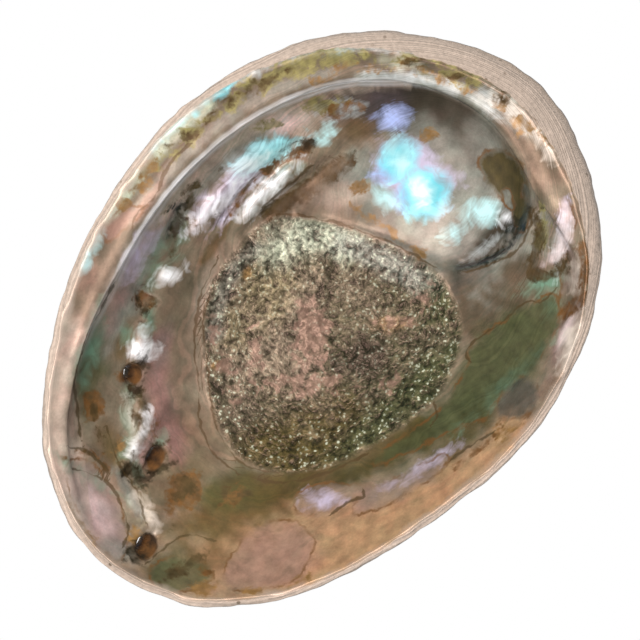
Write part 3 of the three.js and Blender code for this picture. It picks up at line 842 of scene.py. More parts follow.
@dataclass(frozen=True)
class ShellFinish:
    """Pearly lining, rough scar and chalky back, mixed by the mesh's own attributes.

    Fields:
        gloss: roughness of the pearly lining.
        chalk: roughness of the back.
        sheen: how metallic the pearl's glance is.
        film: thickness of the pearl's film in nanometres.
        grain: depth of the finest relief in metres.
        relief: how strongly the finest relief shades.
        pearl_ior: index of refraction of the surface.
        film_ior: index of refraction of the pearl's film.
        cool: what the greener streaks of the pearl multiply its colour by.
        warm: what its rosier streaks multiply it by.
        blush: what its large rosy clouds multiply it by.
        scar_seam: depths inside the scar where its rough skin begins and is full, in millimetres.
        lining_seam: shares of the pearly side where the lining begins and is full.
        tunnel_seam: depths inside a hole where its painted shade and rust begin and are full, in
            millimetres.
        flash_edge: depths inside a painted flash where it begins and is full, in millimetres.
        flash_cover: how much a painted flash covers.
        patch_edge: depths inside a patch where it begins and is full, in millimetres.
        outline: distances from a patch's edge where its outline has ended and is full, in millimetres.
        stain_and_shade_edge: depths inside stains and painted shade where they begin and are full, in
            millimetres.
        crest_inner: distances from the crest where its painted highlight begins and is full, in millimetres.
        crest_outer: distances where that painted highlight has ended and is still full, in millimetres.
        line_reach: distances from a brown line where it has ended and may be full, in millimetres.
        line_cover: how much a brown line covers.
        rim_band: distances from the free edge where its pale band has ended and is full, in millimetres.
        rim_cover: how much that band covers.
        pale_edge: depths under the brim where the back's bands begin and are full, in millimetres.
        pit_cover: how much the back's dark pits cover.
    """

    gloss: float = 0.32
    chalk: float = 0.8
    sheen: float = 0.14
    film: float = 430.0
    grain: float = 0.0006
    relief: float = 0.6
    pearl_ior: float = 1.5
    film_ior: float = 1.4
    cool: tuple[float, ...] = (0.95, 1.03, 1.01)
    warm: tuple[float, ...] = (1.05, 0.98, 0.98)
    blush: tuple[float, ...] = (1.06, 0.97, 0.97)
    scar_seam: tuple[float, float] = (-0.8, 1.0)
    lining_seam: tuple[float, float] = (0.42, 0.6)
    tunnel_seam: tuple[float, float] = (-0.2, 0.5)
    flash_edge: tuple[float, float] = (-1.2, 2.6)
    flash_cover: float = 0.92
    patch_edge: tuple[float, float] = (-0.6, 1.2)
    outline: tuple[float, float] = (0.6, 0.1)
    stain_and_shade_edge: tuple[float, float] = (-0.4, 0.7)
    crest_inner: tuple[float, float] = (-1.4, -0.5)
    crest_outer: tuple[float, float] = (1.6, 0.2)
    line_reach: tuple[float, float] = (1.4, 0.9)
    line_cover: float = 0.75
    rim_band: tuple[float, float] = (3.6, 1.6)
    rim_cover: float = 0.9
    pale_edge: tuple[float, float] = (8.0, 22.0)
    pit_cover: float = 0.7

    def build(self) -> bpy.types.Material:
        """Makes the material.

        Returns:
            The material.
        """
        material = bpy.data.materials.new("abalone_shell")
        material.use_nodes = True
        board = Board(material.node_tree)
        place = board.node("ShaderNodeTexCoord").outputs["Object"]
        growth = board.number("growth")
        silk = self.silk(board, place, growth)
        scar = board.step(board.number("scar"), *self.scar_seam)
        crumb = board.drift(place, 300, 2, -0.12, 0.12)
        lining = board.step(board.plus(board.number("inside"), crumb), *self.lining_seam)
        crust = self.crust_height(board, place)
        pearl = self.flashes(board, place, silk, self.pearl_colour(board, place, silk))
        rough = self.crust_colour(board, place, crust)
        inner = self.patched(board, place, silk, board.mix(pearl, rough, scar))
        inner = self.rimmed(board, place, self.lined(board, place, self.lipped(board, place, inner)))
        outer = self.back_colour(board, place, growth)
        # Inside the holes: painted shade, mixed with rust
        tunnel = board.step(board.number("tunnel"), *self.tunnel_seam)
        rusty = board.step(board.noise(place, 260, 3), 0.35, 0.65)
        hole_shade_and_rust = board.mix(Tint.DEEP_SHADE.rgb, Tint.RUST.rgb, rusty)
        skin = board.mix(board.mix(outer, inner, lining), hole_shade_and_rust, tunnel)

        waves = board.times(board.noise(place, 170, 3), 0.5)
        inner_height = board.plus(board.times(board.times(crust, scar), 1.4), waves)
        threads = board.times(board.noise_line(growth, 0.9), 1.2)
        outer_height = board.plus(threads, board.noise(place, 700, 3))
        bump = board.node("ShaderNodeBump")
        bump.inputs["Strength"].default_value = self.relief
        bump.inputs["Distance"].default_value = self.grain
        board.join(board.mix_value(outer_height, inner_height, lining), bump.inputs["Height"])

        shader = board.node("ShaderNodeBsdfPrincipled")
        board.join(skin, shader.inputs["Base Color"])
        glossy = board.plus(self.gloss, board.times(board.noise(place, 140, 2), 0.14))
        shiny = board.times(lining, board.minus(1.0, tunnel))
        board.join(board.mix_value(self.chalk, glossy, shiny), shader.inputs["Roughness"])
        board.join(board.times(shiny, self.sheen), shader.inputs["Metallic"])
        shader.inputs["IOR"].default_value = self.pearl_ior
        shader.inputs["Thin Film Thickness"].default_value = self.film
        shader.inputs["Thin Film IOR"].default_value = self.film_ior
        board.join(bump.outputs["Normal"], shader.inputs["Normal"])
        board.join(shader.outputs["BSDF"], board.output.inputs["Surface"])
        return material

    def silk(self, board: "Board", place: Socket, growth: Socket) -> Socket:
        """Fine wavering streaks along the growth lines.

        Args:
            board: the material's nodes.
            place: where they are read.
            growth: age of the shell, rising from the spire to the edge.

        Returns:
            The streaks, from -1 to 1.
        """
        slow = board.drift(place, 45, 3, -3.0, 3.0)
        quick = board.drift(place, 200, 3, -0.35, 0.35)
        lines = board.noise_line(board.plus(growth, board.plus(slow, quick)), 1.1)
        young = board.span(growth, 24.0, 58.0, 0.2, 1.0)
        clear = board.times(young, board.span(growth, 66.0, 84.0, 1.0, 0.3))
        return board.times(board.span(lines, *USUAL, -1.0, 1.0), clear)

    def pearl_colour(self, board: "Board", place: Socket, silk: Socket) -> Socket:
        """Painted colour of the pearly lining, with cloudy hues and silky streaks.

        Args:
            board: the material's nodes.
            place: where it is read.
            silk: the streaks.

        Returns:
            The colour.
        """
        cloud = board.drift(place, 240, 6, 0.72, 1.24)
        grain = board.drift(place, 1500, 3, 0.92, 1.08)
        streaks = board.span(silk, -1.0, 1.0, 0.87, 1.13)
        shade = board.times(board.times(cloud, grain), streaks)
        pearl = board.scaled(board.attribute("tint", "Color"), shade)
        hue = board.step(board.plus(silk, board.drift(place, 150, 3, -1.2, 1.2)), -1.2, 1.2)
        pearl = board.product(pearl, board.mix(self.cool, self.warm, hue))
        blush = board.step(board.noise(place, 75, 3, 0.6), 0.45, 0.68)
        return board.product(pearl, board.mix((1.0, 1.0, 1.0), self.blush, blush))

    def flashes(self, board: "Board", place: Socket, silk: Socket, colour: Value) -> Socket:
        """Painted highlights and iridescent flashes of the pearl, with feathered edges.

        Args:
            board: the material's nodes.
            place: where they are read.
            silk: the streaks that feather them.
            colour: the colour under them.

        Returns:
            The colour with the painted flashes.
        """
        uneven = board.drift(place, 230, 5, -1.3, 1.3, 0.7)
        feather = board.plus(board.times(silk, 0.45), uneven)
        # Painted gleam that brightens the flashes along the streaks
        painted_gleam = board.span(board.plus(silk, uneven), -2.0, 2.0, 0.86, 1.22)
        for tint in PAINTED_FLASH_TINTS:
            depth = board.plus(board.number(tint.field), feather)
            body = board.times(board.step(depth, *self.flash_edge), self.flash_cover)
            colour = board.mix(colour, board.scaled(tint.rgb, painted_gleam), body)
        return colour

    def crust_height(self, board: "Board", place: Socket) -> Socket:
        """Relief of the rough scar: uneven crumbs that are coarser near its edge, and smooth flats.

        Args:
            board: the material's nodes.
            place: where it is read.

        Returns:
            The relief, from 0 to 1.
        """
        bent = board.warped(place, 260, 0.0016)
        crumbs = board.span(board.noise(bent, 760, 2, 0.15), 0.33, 0.67, 0.0, 1.0)
        lumps = board.span(board.noise(bent, 340, 4), 0.33, 0.67, 0.0, 1.0)
        near = board.step(board.number("scar"), 11.0, 3.0)
        mixed = board.mix_value(crumbs, lumps, board.plus(0.45, board.times(near, 0.1)))
        flat = self.flat(board, place)
        return board.mix_value(mixed, 0.5, board.times(flat, 0.5))

    def flat(self, board: "Board", place: Socket) -> Socket:
        """Where the scar is smooth and rosy, from 0 to 1."""
        uneven = board.drift(place, 330, 5, -2.6, 2.6, 0.6)
        return board.step(board.plus(board.number("flat"), uneven), -0.6, 1.2)

    def crust_colour(self, board: "Board", place: Socket, crust: Socket) -> Socket:
        """Colour of the rough scar: painted shade in its crevices and painted light on its tops, with
        painted glints.

        Args:
            board: the material's nodes.
            place: where it is read.
            crust: its relief.

        Returns:
            The colour.
        """
        patches = board.span(board.noise(place, 120, 4), 0.35, 0.65, 0.75, 1.2)
        # Painted shade in the crevices and painted light on the tops
        shade = board.times(board.span(crust, 0.18, 0.8, 0.16, 1.5), patches)
        rough = board.scaled(board.attribute("tint", "Color"), shade)
        rosy = board.scaled(Tint.ROSE.rgb, board.span(crust, 0.2, 0.8, 0.45, 1.3))
        rough = board.mix(rough, rosy, board.times(self.flat(board, place), 0.65))
        near = board.times(
            board.span(board.number("scar"), 13.0, 3.0, 0.4, 1.0),
            board.span(board.noise(place, 75, 3), 0.38, 0.6, 0.35, 1.0),
        )
        # Painted glints: pale dots on the crumb tops
        glint_dots = board.step(board.voronoi(board.warped(place, 420, 0.0012), 820), 0.42, 0.22)
        spots = board.times(glint_dots, board.step(crust, 0.5, 0.66))
        return board.mix(rough, Tint.DEW.rgb, board.times(spots, near))

    def patched(self, board: "Board", place: Socket, silk: Socket, colour: Value) -> Socket:
        """Patches with thin broken outlines, and stains and painted shade over them, all with crisp uneven
        edges.

        Args:
            board: the material's nodes.
            place: where they are read.
            silk: the streaks that run through them.
            colour: the colour under them.

        Returns:
            The colour with the patches, stains and painted shade.
        """
        fine = board.span(board.noise(place, 900, 3), 0.25, 0.75, -0.5, 0.5)
        uneven = board.plus(board.span(board.noise(place, 210, 4, 0.6), 0.25, 0.75, -1.9, 1.9), fine)
        slight = board.times(uneven, 0.45)
        streaks = board.span(silk, -1.0, 1.0, 0.86, 1.12)
        cloud = board.times(board.drift(place, 330, 5, 0.62, 1.35), streaks)
        broken = board.span(board.noise(place, 130, 3), 0.42, 0.6, 0.0, 0.8)
        for tint, strength in PATCH_TINTS.items():
            depth = board.plus(board.number(tint.field), slight)
            body = board.times(board.step(depth, *self.patch_edge), strength)
            colour = board.mix(colour, board.scaled(tint.rgb, cloud), body)
            edge = board.step(board.unsigned(depth), *self.outline)
            colour = board.mix(colour, Tint.RUST.rgb, board.times(edge, broken))
        patchy = board.span(board.noise(place, 480, 4), 0.35, 0.62, 0.62, 0.97)
        for tint in STAIN_AND_SHADE_TINTS:
            depth = board.plus(board.number(tint.field), uneven)
            body = board.times(board.step(depth, *self.stain_and_shade_edge), patchy)
            colour = board.mix(colour, board.scaled(tint.rgb, cloud), body)
        return colour

    def lipped(self, board: "Board", place: Socket, colour: Value) -> Socket:
        """Painted highlight along the crest, and painted shade in the hollow that runs in under it.

        Args:
            board: the material's nodes.
            place: where it is read.
            colour: the colour around it.

        Returns:
            The colour with the painted highlight and the painted shade.
        """
        aside = board.plus(board.number("lip"), board.drift(place, 160, 3, -0.25, 0.25))
        cave = board.number("cave")
        under = board.mix_value(board.step(aside, -0.2, -0.6), board.step(aside, -1.2, -2.2), cave)
        reach = board.mix_value(board.step(aside, -2.0, 0.0), board.step(aside, -9.6, -0.8), cave)
        # Painted shade under the crest, deepest in the hollow under the spire
        dark = board.times(board.times(reach, under), board.plus(0.05, board.times(cave, 0.5)))
        colour = board.scaled(colour, board.minus(1.0, dark))
        # Painted highlight along the crest
        line = board.times(board.step(aside, *self.crest_inner), board.step(aside, *self.crest_outer))
        patchy = board.span(board.noise(place, 90, 2), 0.4, 0.6, 0.55, 0.95)
        threads = board.span(board.noise_line(aside, 1.5), 0.38, 0.62, 0.45, 1.0)
        bright = board.times(board.number("crest"), board.times(patchy, threads))
        return board.mix(colour, Tint.HIGHLIGHT.rgb, board.times(line, bright))

    def rimmed(self, board: "Board", place: Socket, colour: Value) -> Socket:
        """Pale edge of the lip, with fine lines along it.

        Args:
            board: the material's nodes.
            place: where it is read.
            colour: the colour inside it.

        Returns:
            The colour with the edge.
        """
        edge = board.number("edge")
        uneven = board.drift(place, 120, 3, -0.9, 0.9)
        lines = board.span(board.noise_line(edge, 1.3), 0.35, 0.65, 0.8, 1.08)
        pale = board.scaled(Tint.BONE.rgb, lines)
        band = board.step(board.plus(edge, uneven), *self.rim_band)
        return board.mix(colour, pale, board.times(band, self.rim_cover))

    def lined(self, board: "Board", place: Socket, colour: Value) -> Socket:
        """Thin brown lines over the lining.

        Args:
            board: the material's nodes.
            place: where they are read.
            colour: the colour under them.

        Returns:
            The colour with the lines.
        """
        waver = board.drift(place, 380, 2, -0.3, 0.3)
        across = board.unsigned(board.plus(board.number("side"), waver))
        width = board.span(board.noise(place, 150, 2), 0.35, 0.65, 0.0, 0.55)
        line = board.step(board.minus(across, width), 0.15, -0.15)
        close = board.step(board.number("line"), *self.line_reach)
        cover = board.times(board.times(line, close), self.line_cover)
        return board.mix(colour, Tint.UMBER.rgb, cover)

    def back_colour(self, board: "Board", place: Socket, growth: Socket) -> Socket:
        """Colour of the chalky back: growth bands, paler towards the free edge, with tiny dark pits.

        Args:
            board: the material's nodes.
            place: where it is read.
            growth: age of the shell, rising from the spire to the edge.

        Returns:
            The colour.
        """
        drift = board.plus(growth, board.drift(place, 120, 3, -2.5, 2.5))
        bands = board.ramp(
            board.noise_line(drift, 0.16),
            ((0.25, Tint.WINE), (0.42, Tint.ROSE), (0.55, Tint.PEACH), (0.75, Tint.SAND)),
        )
        edge = board.step(board.number("below"), *self.pale_edge)
        mixed = board.mix(Tint.BONE.rgb, bands, edge)
        threads = board.span(board.noise_line(growth, 0.9), *USUAL, 0.78, 1.1)
        grit = board.drift(place, 900, 3, 0.82, 1.08)
        pitted = board.step(board.noise(place, 60, 2), 0.5, 0.6)
        pits = board.times(board.step(board.voronoi(place, 300), 0.2, 0.12), pitted)
        chalk = board.scaled(mixed, board.times(threads, grit))
        return board.mix(chalk, Tint.UMBER.rgb, board.times(pits, self.pit_cover))


class Board:
    """Short names for wiring a material's nodes."""

    def __init__(self, tree: bpy.types.NodeTree) -> None:
        """Clears the tree and gives it an output.

        Args:
            tree: the material's node tree.
        """
        self.tree = tree
        tree.nodes.clear()
        self.output = self.node("ShaderNodeOutputMaterial")

    def node(self, kind: str) -> bpy.types.Node:
        """Adds a node of a kind."""
        return self.tree.nodes.new(kind)

    def join(self, value: Value, socket: Socket) -> None:
        """Gives a socket a link, a colour or a plain value.

        Args:
            value: an output socket, a red, green and blue triple, or a number.
            socket: the input that takes it.
        """
        if isinstance(value, Socket):
            self.tree.links.new(value, socket)
        elif isinstance(value, tuple):
            socket.default_value = (*value, 1.0)[: len(socket.default_value)]
        else:
            socket.default_value = value

    def attribute(self, name: str, output: str) -> Socket:
        """One of the mesh's own attributes.

        Args:
            name: the attribute's name.
            output: which of the node's outputs is read.

        Returns:
            The attribute's value.
        """
        node = self.node("ShaderNodeAttribute")
        node.attribute_name = name
        return node.outputs[output]

    def number(self, name: str) -> Socket:
        """One of the mesh's own attributes, as a number."""
        return self.attribute(name, "Fac")

    def calculate(self, operation: str, a: Value, b: Value) -> Socket:
        """A result worked out from two values.

        Args:
            operation: the math node's operation.
            a: the first value.
            b: the second value.

        Returns:
            The result.
        """
        node = self.node("ShaderNodeMath")
        node.operation = operation
        self.join(a, node.inputs[0])
        self.join(b, node.inputs[1])
        return node.outputs[0]

    def plus(self, a: Value, b: Value) -> Socket:
        """Adds two values."""
        return self.calculate("ADD", a, b)

    def minus(self, a: Value, b: Value) -> Socket:
        """Takes the second value from the first."""
        return self.calculate("SUBTRACT", a, b)

    def times(self, a: Value, b: Value) -> Socket:
        """Multiplies two values."""
        return self.calculate("MULTIPLY", a, b)

    def unsigned(self, value: Value) -> Socket:
        """A value without its sign."""
        return self.calculate("ABSOLUTE", value, 0.0)

    def span(self, value: Value, low: float, high: float, to_low: float, to_high: float) -> Socket:
        """Moves a value from one range to another, and clamps it.

        Args:
            value: the value.
            low: start of its range.
            high: end of its range.
            to_low: what the start becomes.
            to_high: what the end becomes.

        Returns:
            The moved value.
        """
        node = self.node("ShaderNodeMapRange")
        for name, item in zip(
            ("Value", "From Min", "From Max", "To Min", "To Max"), (value, low, high, to_low, to_high)
        ):
            self.join(item, node.inputs[name])
        return node.outputs["Result"]

    def step(self, value: Value, low: float, high: float) -> Socket:
        """A ramp of a value from 0 to 1."""
        return self.span(value, low, high, 0.0, 1.0)

    def noise(self, place: Socket, scale: float, detail: float, warp: float = 0.0) -> Socket:
        """Noise in the piece's own space.

        Args:
            place: where it is read.
            scale: lumps per metre.
            detail: how many finer layers it has.
            warp: how much it is distorted.

        Returns:
            The noise, about 0 to 1.
        """
        node = self.node("ShaderNodeTexNoise")
        self.join(place, node.inputs["Vector"])
        node.inputs["Scale"].default_value = scale
        node.inputs["Detail"].default_value = detail
        node.inputs["Distortion"].default_value = warp
        return node.outputs["Fac"]

    def drift(
        self, place: Socket, scale: float, detail: float, low: float, high: float, warp: float = 0.0
    ) -> Socket:
        """Noise in the piece's own space, spread over a range.

        Args:
            place: where it is read.
            scale: lumps per metre.
            detail: how many finer layers it has.
            low: lower end of the range.
            high: upper end of the range.
            warp: how much it is distorted.

        Returns:
            The noise, within the range.
        """
        return self.span(self.noise(place, scale, detail, warp), *USUAL, low, high)

    def noise_line(self, value: Socket, scale: float) -> Socket:
        """Noise along one value, so that it makes bands.

        Args:
            value: the value.
            scale: lumps for each unit of it.

        Returns:
            The noise, about 0 to 1.
        """
        node = self.node("ShaderNodeTexNoise")
        node.noise_dimensions = "1D"
        self.join(value, node.inputs["W"])
        node.inputs["Scale"].default_value = scale
        node.inputs["Detail"].default_value = 3.0
        return node.outputs["Fac"]

    def voronoi(self, place: Socket, scale: float) -> Socket:
        """Distance to the middles of pebbles.

        Args:
            place: where it is read.
            scale: pebbles per metre.

        Returns:
            The distance, as a share of a pebble's width.
        """
        node = self.node("ShaderNodeTexVoronoi")
        self.join(place, node.inputs["Vector"])
        node.inputs["Scale"].default_value = scale
        return node.outputs["Distance"]

    def ramp(self, value: Value, stops: tuple[tuple[float, Tint], ...]) -> Socket:
        """Colours along a value.

        Args:
            value: the value, from 0 to 1.
            stops: places and colours, in order.

        Returns:
            The colour.
        """
        node = self.node("ShaderNodeValToRGB")
        points = node.color_ramp.elements
        while len(points) < len(stops):
            points.new(0.5)
        for point, (where, tint) in zip(points, stops):
            point.position = where
            point.color = (*tint.linear, 1.0)
        self.join(value, node.inputs["Fac"])
        return node.outputs["Color"]

    def mix(self, a: Value, b: Value, factor: Value) -> Socket:
        """Mixes two colours.

        Args:
            a: the colour at 0.
            b: the colour at 1.
            factor: how much of the second there is.

        Returns:
            The mixed colour.
        """
        node = self.node("ShaderNodeMix")
        node.data_type = "RGBA"
        self.join(factor, node.inputs[0])
        self.join(a, node.inputs[6])
        self.join(b, node.inputs[7])
        return node.outputs[2]

    def mix_value(self, a: Value, b: Value, factor: Value) -> Socket:
        """Mixes two values by a factor."""
        return self.plus(a, self.times(self.minus(b, a), factor))

    def product(self, a: Value, b: Value) -> Socket:
        """One colour times another.

        Args:
            a: the first colour.
            b: the second colour.

        Returns:
            The product.
        """
        node = self.node("ShaderNodeVectorMath")
        node.operation = "MULTIPLY"
        self.join(a, node.inputs[0])
        self.join(b, node.inputs[1])
        return node.outputs[0]

    def warped(self, place: Socket, scale: float, amount: float) -> Socket:
        """Places shifted about by noise.

        Args:
            place: the places.
            scale: how fine the noise is.
            amount: how far it moves them.

        Returns:
            The shifted places.
        """
        noise = self.node("ShaderNodeTexNoise")
        self.join(place, noise.inputs["Vector"])
        noise.inputs["Scale"].default_value = scale
        node = self.node("ShaderNodeVectorMath")
        node.operation = "MULTIPLY_ADD"
        self.join(noise.outputs["Color"], node.inputs[0])
        node.inputs[1].default_value = (amount, amount, amount)
        self.join(place, node.inputs[2])
        return node.outputs[0]

    def scaled(self, colour: Value, value: Value) -> Socket:
        """A colour made brighter or darker.

        Args:
            colour: the colour.
            value: what it is multiplied by.

        Returns:
            The changed colour.
        """
        node = self.node("ShaderNodeVectorMath")
        node.operation = "SCALE"
        self.join(colour, node.inputs[0])
        self.join(value, node.inputs["Scale"])
        return node.outputs[0]


@dataclass(frozen=True)
class Viewpoint:
    """The place straight above the shell that its marks are drawn from and that the camera stands at.

    Fields:
        aim: the point of the plan below it, in millimetres.
        eye: its height over the rim in millimetres.
        rim: height of the rim in millimetres.
    """

    aim: tuple[float, float] = (-0.4, -1.83)
    eye: float = 900.0
    rim: float = 44.0


@dataclass
class Shell:
    """The abalone's shell.

    Fields:
        levels: how often the CAD mesh is subdivided.
        pebble: height of the scar's pebbles in millimetres.
        swell: height of the pearl's slow waves in millimetres.
        growth_step: height of the growth steps on the back in millimetres.
        view: where the marks are drawn from.
        nudge: how far the drawing of the marks lies off the shell's plan, in millimetres.
        chip: unevenness of the free edge in millimetres.
        apex: the spire's point on the plan in millimetres.
        oldest: age of the shell at its free edge.
        step_gap: how much the shell ages between two growth steps.
        thread_gap: how much it ages between two growth threads.
        brim: height of the highest point of the back in millimetres.
        sharp: angle in degrees from which an edge of the CAD mesh is kept sharp.
        crease: how sharp those edges stay.
        weld: distance within which vertices are merged, in millimetres.
        lookouts: points inside the bowl that see all of the pearly side, in millimetres.
        cave: where along the plan the hollow's painted shade begins and is full, in millimetres.
        crest_front: where the crest's painted highlight begins and is full, in millimetres.
        crest_back: where it has ended and where it is still full, in millimetres.
        crest_low: where it begins and is full across the plan, in millimetres.
        facing: share of a normal from which a vertex counts as facing that way.
        lift: how far a ray starts off the surface, in millimetres.
        roof: least height of wall over a point inside a hole, in millimetres.
        hole_shade_and_rust: how far the painted shade and rust of a hole go past its exit, in millimetres.
        lip_reach: distance from the crest that the mesh keeps, in millimetres.
        overlap: how far the marks of the shelf go over the crest, in millimetres.
        least: least height that a vertex is moved by, in millimetres.
        ridge_fade: depth under the rim over which the floor's ridges rise, in millimetres.
        scar_fade: width inside the scar's border over which its pebbles rise, in millimetres.
        foot_fade: heights where the back's relief begins and is full, in millimetres.
        step_fold: where along its gap a growth step turns, as a share.
        thread_fold: where along its gap a growth thread turns, as a share.
        thread_share: height of a thread, as a share of a step.
        piece: the shell's object, once it is built.
    """

    levels: int = 2
    pebble: float = 0.5
    swell: float = 0.3
    growth_step: float = 0.5
    view: Viewpoint = Viewpoint()
    nudge: tuple[float, float] = (0.73, -0.49)
    chip: float = 0.5
    apex: tuple[float, float] = (57.0, 3.0)
    oldest: float = 90.0
    step_gap: float = 4.5
    thread_gap: float = 1.9
    brim: float = 47.0
    sharp: float = 50.0
    crease: float = 0.75
    weld: float = 0.02
    lookouts: tuple[tuple[float, float, float], ...] = (
        (0, 0, 34), (46, 0, 30), (-45, 0, 40), (15, -30, 40), (0, 32, 38),
    )
    cave: tuple[float, float] = (48.0, 62.0)
    crest_front: tuple[float, float] = (-58.0, -18.0)
    crest_back: tuple[float, float] = (72.0, 50.0)
    crest_low: tuple[float, float] = (-20.0, 4.0)
    facing: float = 0.3
    lift: float = 0.3
    roof: float = 0.8
    hole_shade_and_rust: float = 0.7
    lip_reach: float = 12.0
    overlap: float = 0.4
    least: float = 0.001
    ridge_fade: float = 4.0
    scar_fade: float = 3.0
    foot_fade: tuple[float, float] = (0.2, 3.0)
    step_fold: float = 0.35
    thread_fold: float = 0.5
    thread_share: float = 0.5
    piece: bpy.types.Object = field(init=False)

    def build(self) -> bpy.types.Object:
        """Makes the fine shell from the CAD node.

        Returns:
            The piece.
        """
        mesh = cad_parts["shell"].data.copy()
        self.piece = bpy.data.objects.new("abalone_shell", mesh)
        bpy.context.scene.collection.objects.link(self.piece)
        bpy.ops.object.select_all(action="DESELECT")
        self.piece.select_set(True)
        bpy.context.view_layer.objects.active = self.piece
        bpy.ops.object.mode_set(mode="EDIT")
        bpy.ops.mesh.select_all(action="SELECT")
        bpy.ops.mesh.remove_doubles(threshold=self.weld * MM)
        bpy.ops.mesh.tris_convert_to_quads(face_threshold=math.pi, shape_threshold=math.pi)
        bpy.ops.mesh.normals_make_consistent(inside=False)
        bpy.ops.mesh.select_all(action="DESELECT")
        bpy.ops.mesh.edges_select_sharp(sharpness=math.radians(self.sharp))
        bpy.ops.transform.edge_crease(value=self.crease)
        bpy.ops.object.mode_set(mode="OBJECT")
        self.store("inside", self.lining())
        smooth = self.piece.modifiers.new("fine", "SUBSURF")
        smooth.levels = self.levels
        smooth.render_levels = self.levels
        bpy.ops.object.modifier_apply(modifier=smooth.name)
        self.raise_by(self.relief())
        bpy.ops.object.shade_smooth()
        return self.piece

    def store(self, name: str, values: np.ndarray) -> None:
        """Keeps one number for each vertex as an attribute of the mesh.

        Args:
            name: the attribute's name.
            values: the numbers.
        """
        layer = self.piece.data.attributes.new(name, "FLOAT", "POINT")
        layer.data.foreach_set("value", values.astype(np.float32))

    def read(self, name: str) -> np.ndarray:
        """The numbers of one of the mesh's attributes.

        Args:
            name: the attribute's name.

        Returns:
            One number for each vertex.
        """
        values = np.zeros(len(self.piece.data.vertices), np.float32)
        self.piece.data.attributes[name].data.foreach_get("value", values)
        return values

    def places(self) -> np.ndarray:
        """Places of the vertices.

        Returns:
            Points in millimetres.
        """
        values = np.zeros(len(self.piece.data.vertices) * 3, np.float32)
        self.piece.data.vertices.foreach_get("co", values)
        return values.reshape(-1, 3) / MM

    def tree(self) -> BVHTree:
        """The mesh as it is now, ready for rays."""
        mesh = self.piece.data
        return BVHTree.FromPolygons([v.co for v in mesh.vertices], [p.vertices for p in mesh.polygons])

    def lining(self) -> np.ndarray:
        """Which vertices belong to the pearly side: those that can be seen from inside the bowl.

        Returns:
            1 for a vertex of the pearly side, 0 for one of the back.
        """
        mesh = self.piece.data
        tree = self.tree()
        eyes = [Vector(eye) * MM for eye in self.lookouts]

        def seen(vertex: bpy.types.MeshVertex) -> bool:
            """Whether a vertex faces up and not outwards, or one of the eyes sees it.

            Args:
                vertex: the vertex.

            Returns:
                True if it belongs to the pearly side.
            """
            outwards = Vector((vertex.co.x, vertex.co.y, 0)).normalized().dot(vertex.normal)
            if vertex.normal.z > self.facing and outwards < self.facing:
                return True
            start = vertex.co + vertex.normal * self.lift * MM
            return any(
                tree.ray_cast(start, (eye - start).normalized(), (eye - start).length)[0] is None
                for eye in eyes
            )

        return np.array([1.0 if seen(v) else 0.0 for v in mesh.vertices])

    def relief(self) -> np.ndarray:
        """Fine relief that the CAD mesh is too coarse for.

        Returns:
            Height along the normal in millimetres, one for each vertex.
        """
        places = self.places()
        plan = self.drawn()
        inside = self.read("inside")
        scar = -SCAR_EDGE.offset(plan)
        folds = sum(ridge.height(plan) for ridge in FLOOR_RIDGES)
        under = smoothstep(0, self.ridge_fade, self.view.rim - places[:, 2])
        pebbles = self.pebble * PEBBLES.at(plan) * smoothstep(0, self.scar_fade, scar)
        pearl = folds * under + self.swell * WAVES.at(plan) + pebbles
        age = self.age(places[:, :2])
        steps = np.abs(((age / self.step_gap) % 1) - self.step_fold)
        threads = self.thread_share * np.abs(((age / self.thread_gap) % 1) - self.thread_fold)
        off_ground = smoothstep(*self.foot_fade, places[:, 2])
        back = self.growth_step * (steps + threads - 0.5 + BACK_LUMPS.at(plan)) * off_ground
        edge = 1 - np.abs(2 * inside - 1)
        chips = self.chip * EDGE_CHIPS.at(plan) * edge
        return np.where(inside > 0.5, pearl, back) + chips

    def raise_by(self, height: np.ndarray) -> None:
        """Moves the vertices along their normals.

        Args:
            height: how far each one goes out, in millimetres.
        """
        for name, sign in (("raised", 1), ("sunk", -1)):
            part = np.maximum(sign * height, 0)
            top = float(part.max())
            group = self.piece.vertex_groups.new(name=name)
            for index in np.nonzero(part > self.least)[0]:
                group.add([int(index)], float(part[index] / top), "REPLACE")
            lift = self.piece.modifiers.new(name, "DISPLACE")
            lift.vertex_group = name
            lift.mid_level = 0.0
            lift.strength = sign * top * MM
            bpy.ops.object.modifier_apply(modifier=lift.name)

    def tunnels(self) -> np.ndarray:
        """How far each vertex lies inside the open holes, which slant outwards through the wall.

        Returns:
            Depths in millimetres, below 0 outside.
        """
        places = self.places()
        plan = places[:, :2]
        depth = np.max([hole.depth(plan) for hole in HOLE_MOUTHS], axis=0)
        exits = np.max([hole.depth(plan) for hole in HOLE_EXITS], axis=0)
        tree = self.tree()
        down = Vector((0, 0, -1))
        overhead = 100
        for index in np.nonzero(exits > -1)[0]:
            x, y, z = places[index]
            top = tree.ray_cast(Vector((x, y, overhead)) * MM, down)[0]
            if top is not None and top.z > (z + self.roof) * MM:
                depth[index] = max(depth[index], exits[index] + self.hole_shade_and_rust)
        return depth

    def age(self, plan: np.ndarray) -> np.ndarray:
        """Age of the shell: 0 at the spire and oldest at the edge, with level lines like growth lines.

        Args:
            plan: points in millimetres.

        Returns:
            One value for each point.
        """
        away = np.hypot(*(plan - np.array(self.apex)).T)
        left = np.maximum(-RIM_EDGE.offset(plan), 0)
        return self.oldest * away / (away + left + 0.1) + GROWTH_DRIFT.at(plan)

    def drawn(self) -> np.ndarray:
        """Places of the vertices on the drawn plan, where deeper points stand nearer to the middle.

        Returns:
            Points in millimetres at the rim's height, as they are seen from above.
        """
        places = self.places()
        nearer = self.view.eye / (self.view.eye + self.view.rim - places[:, 2])
        middle = np.array(self.view.aim)
        return middle + self.nudge + (places[:, :2] - middle) * nearer[:, None]

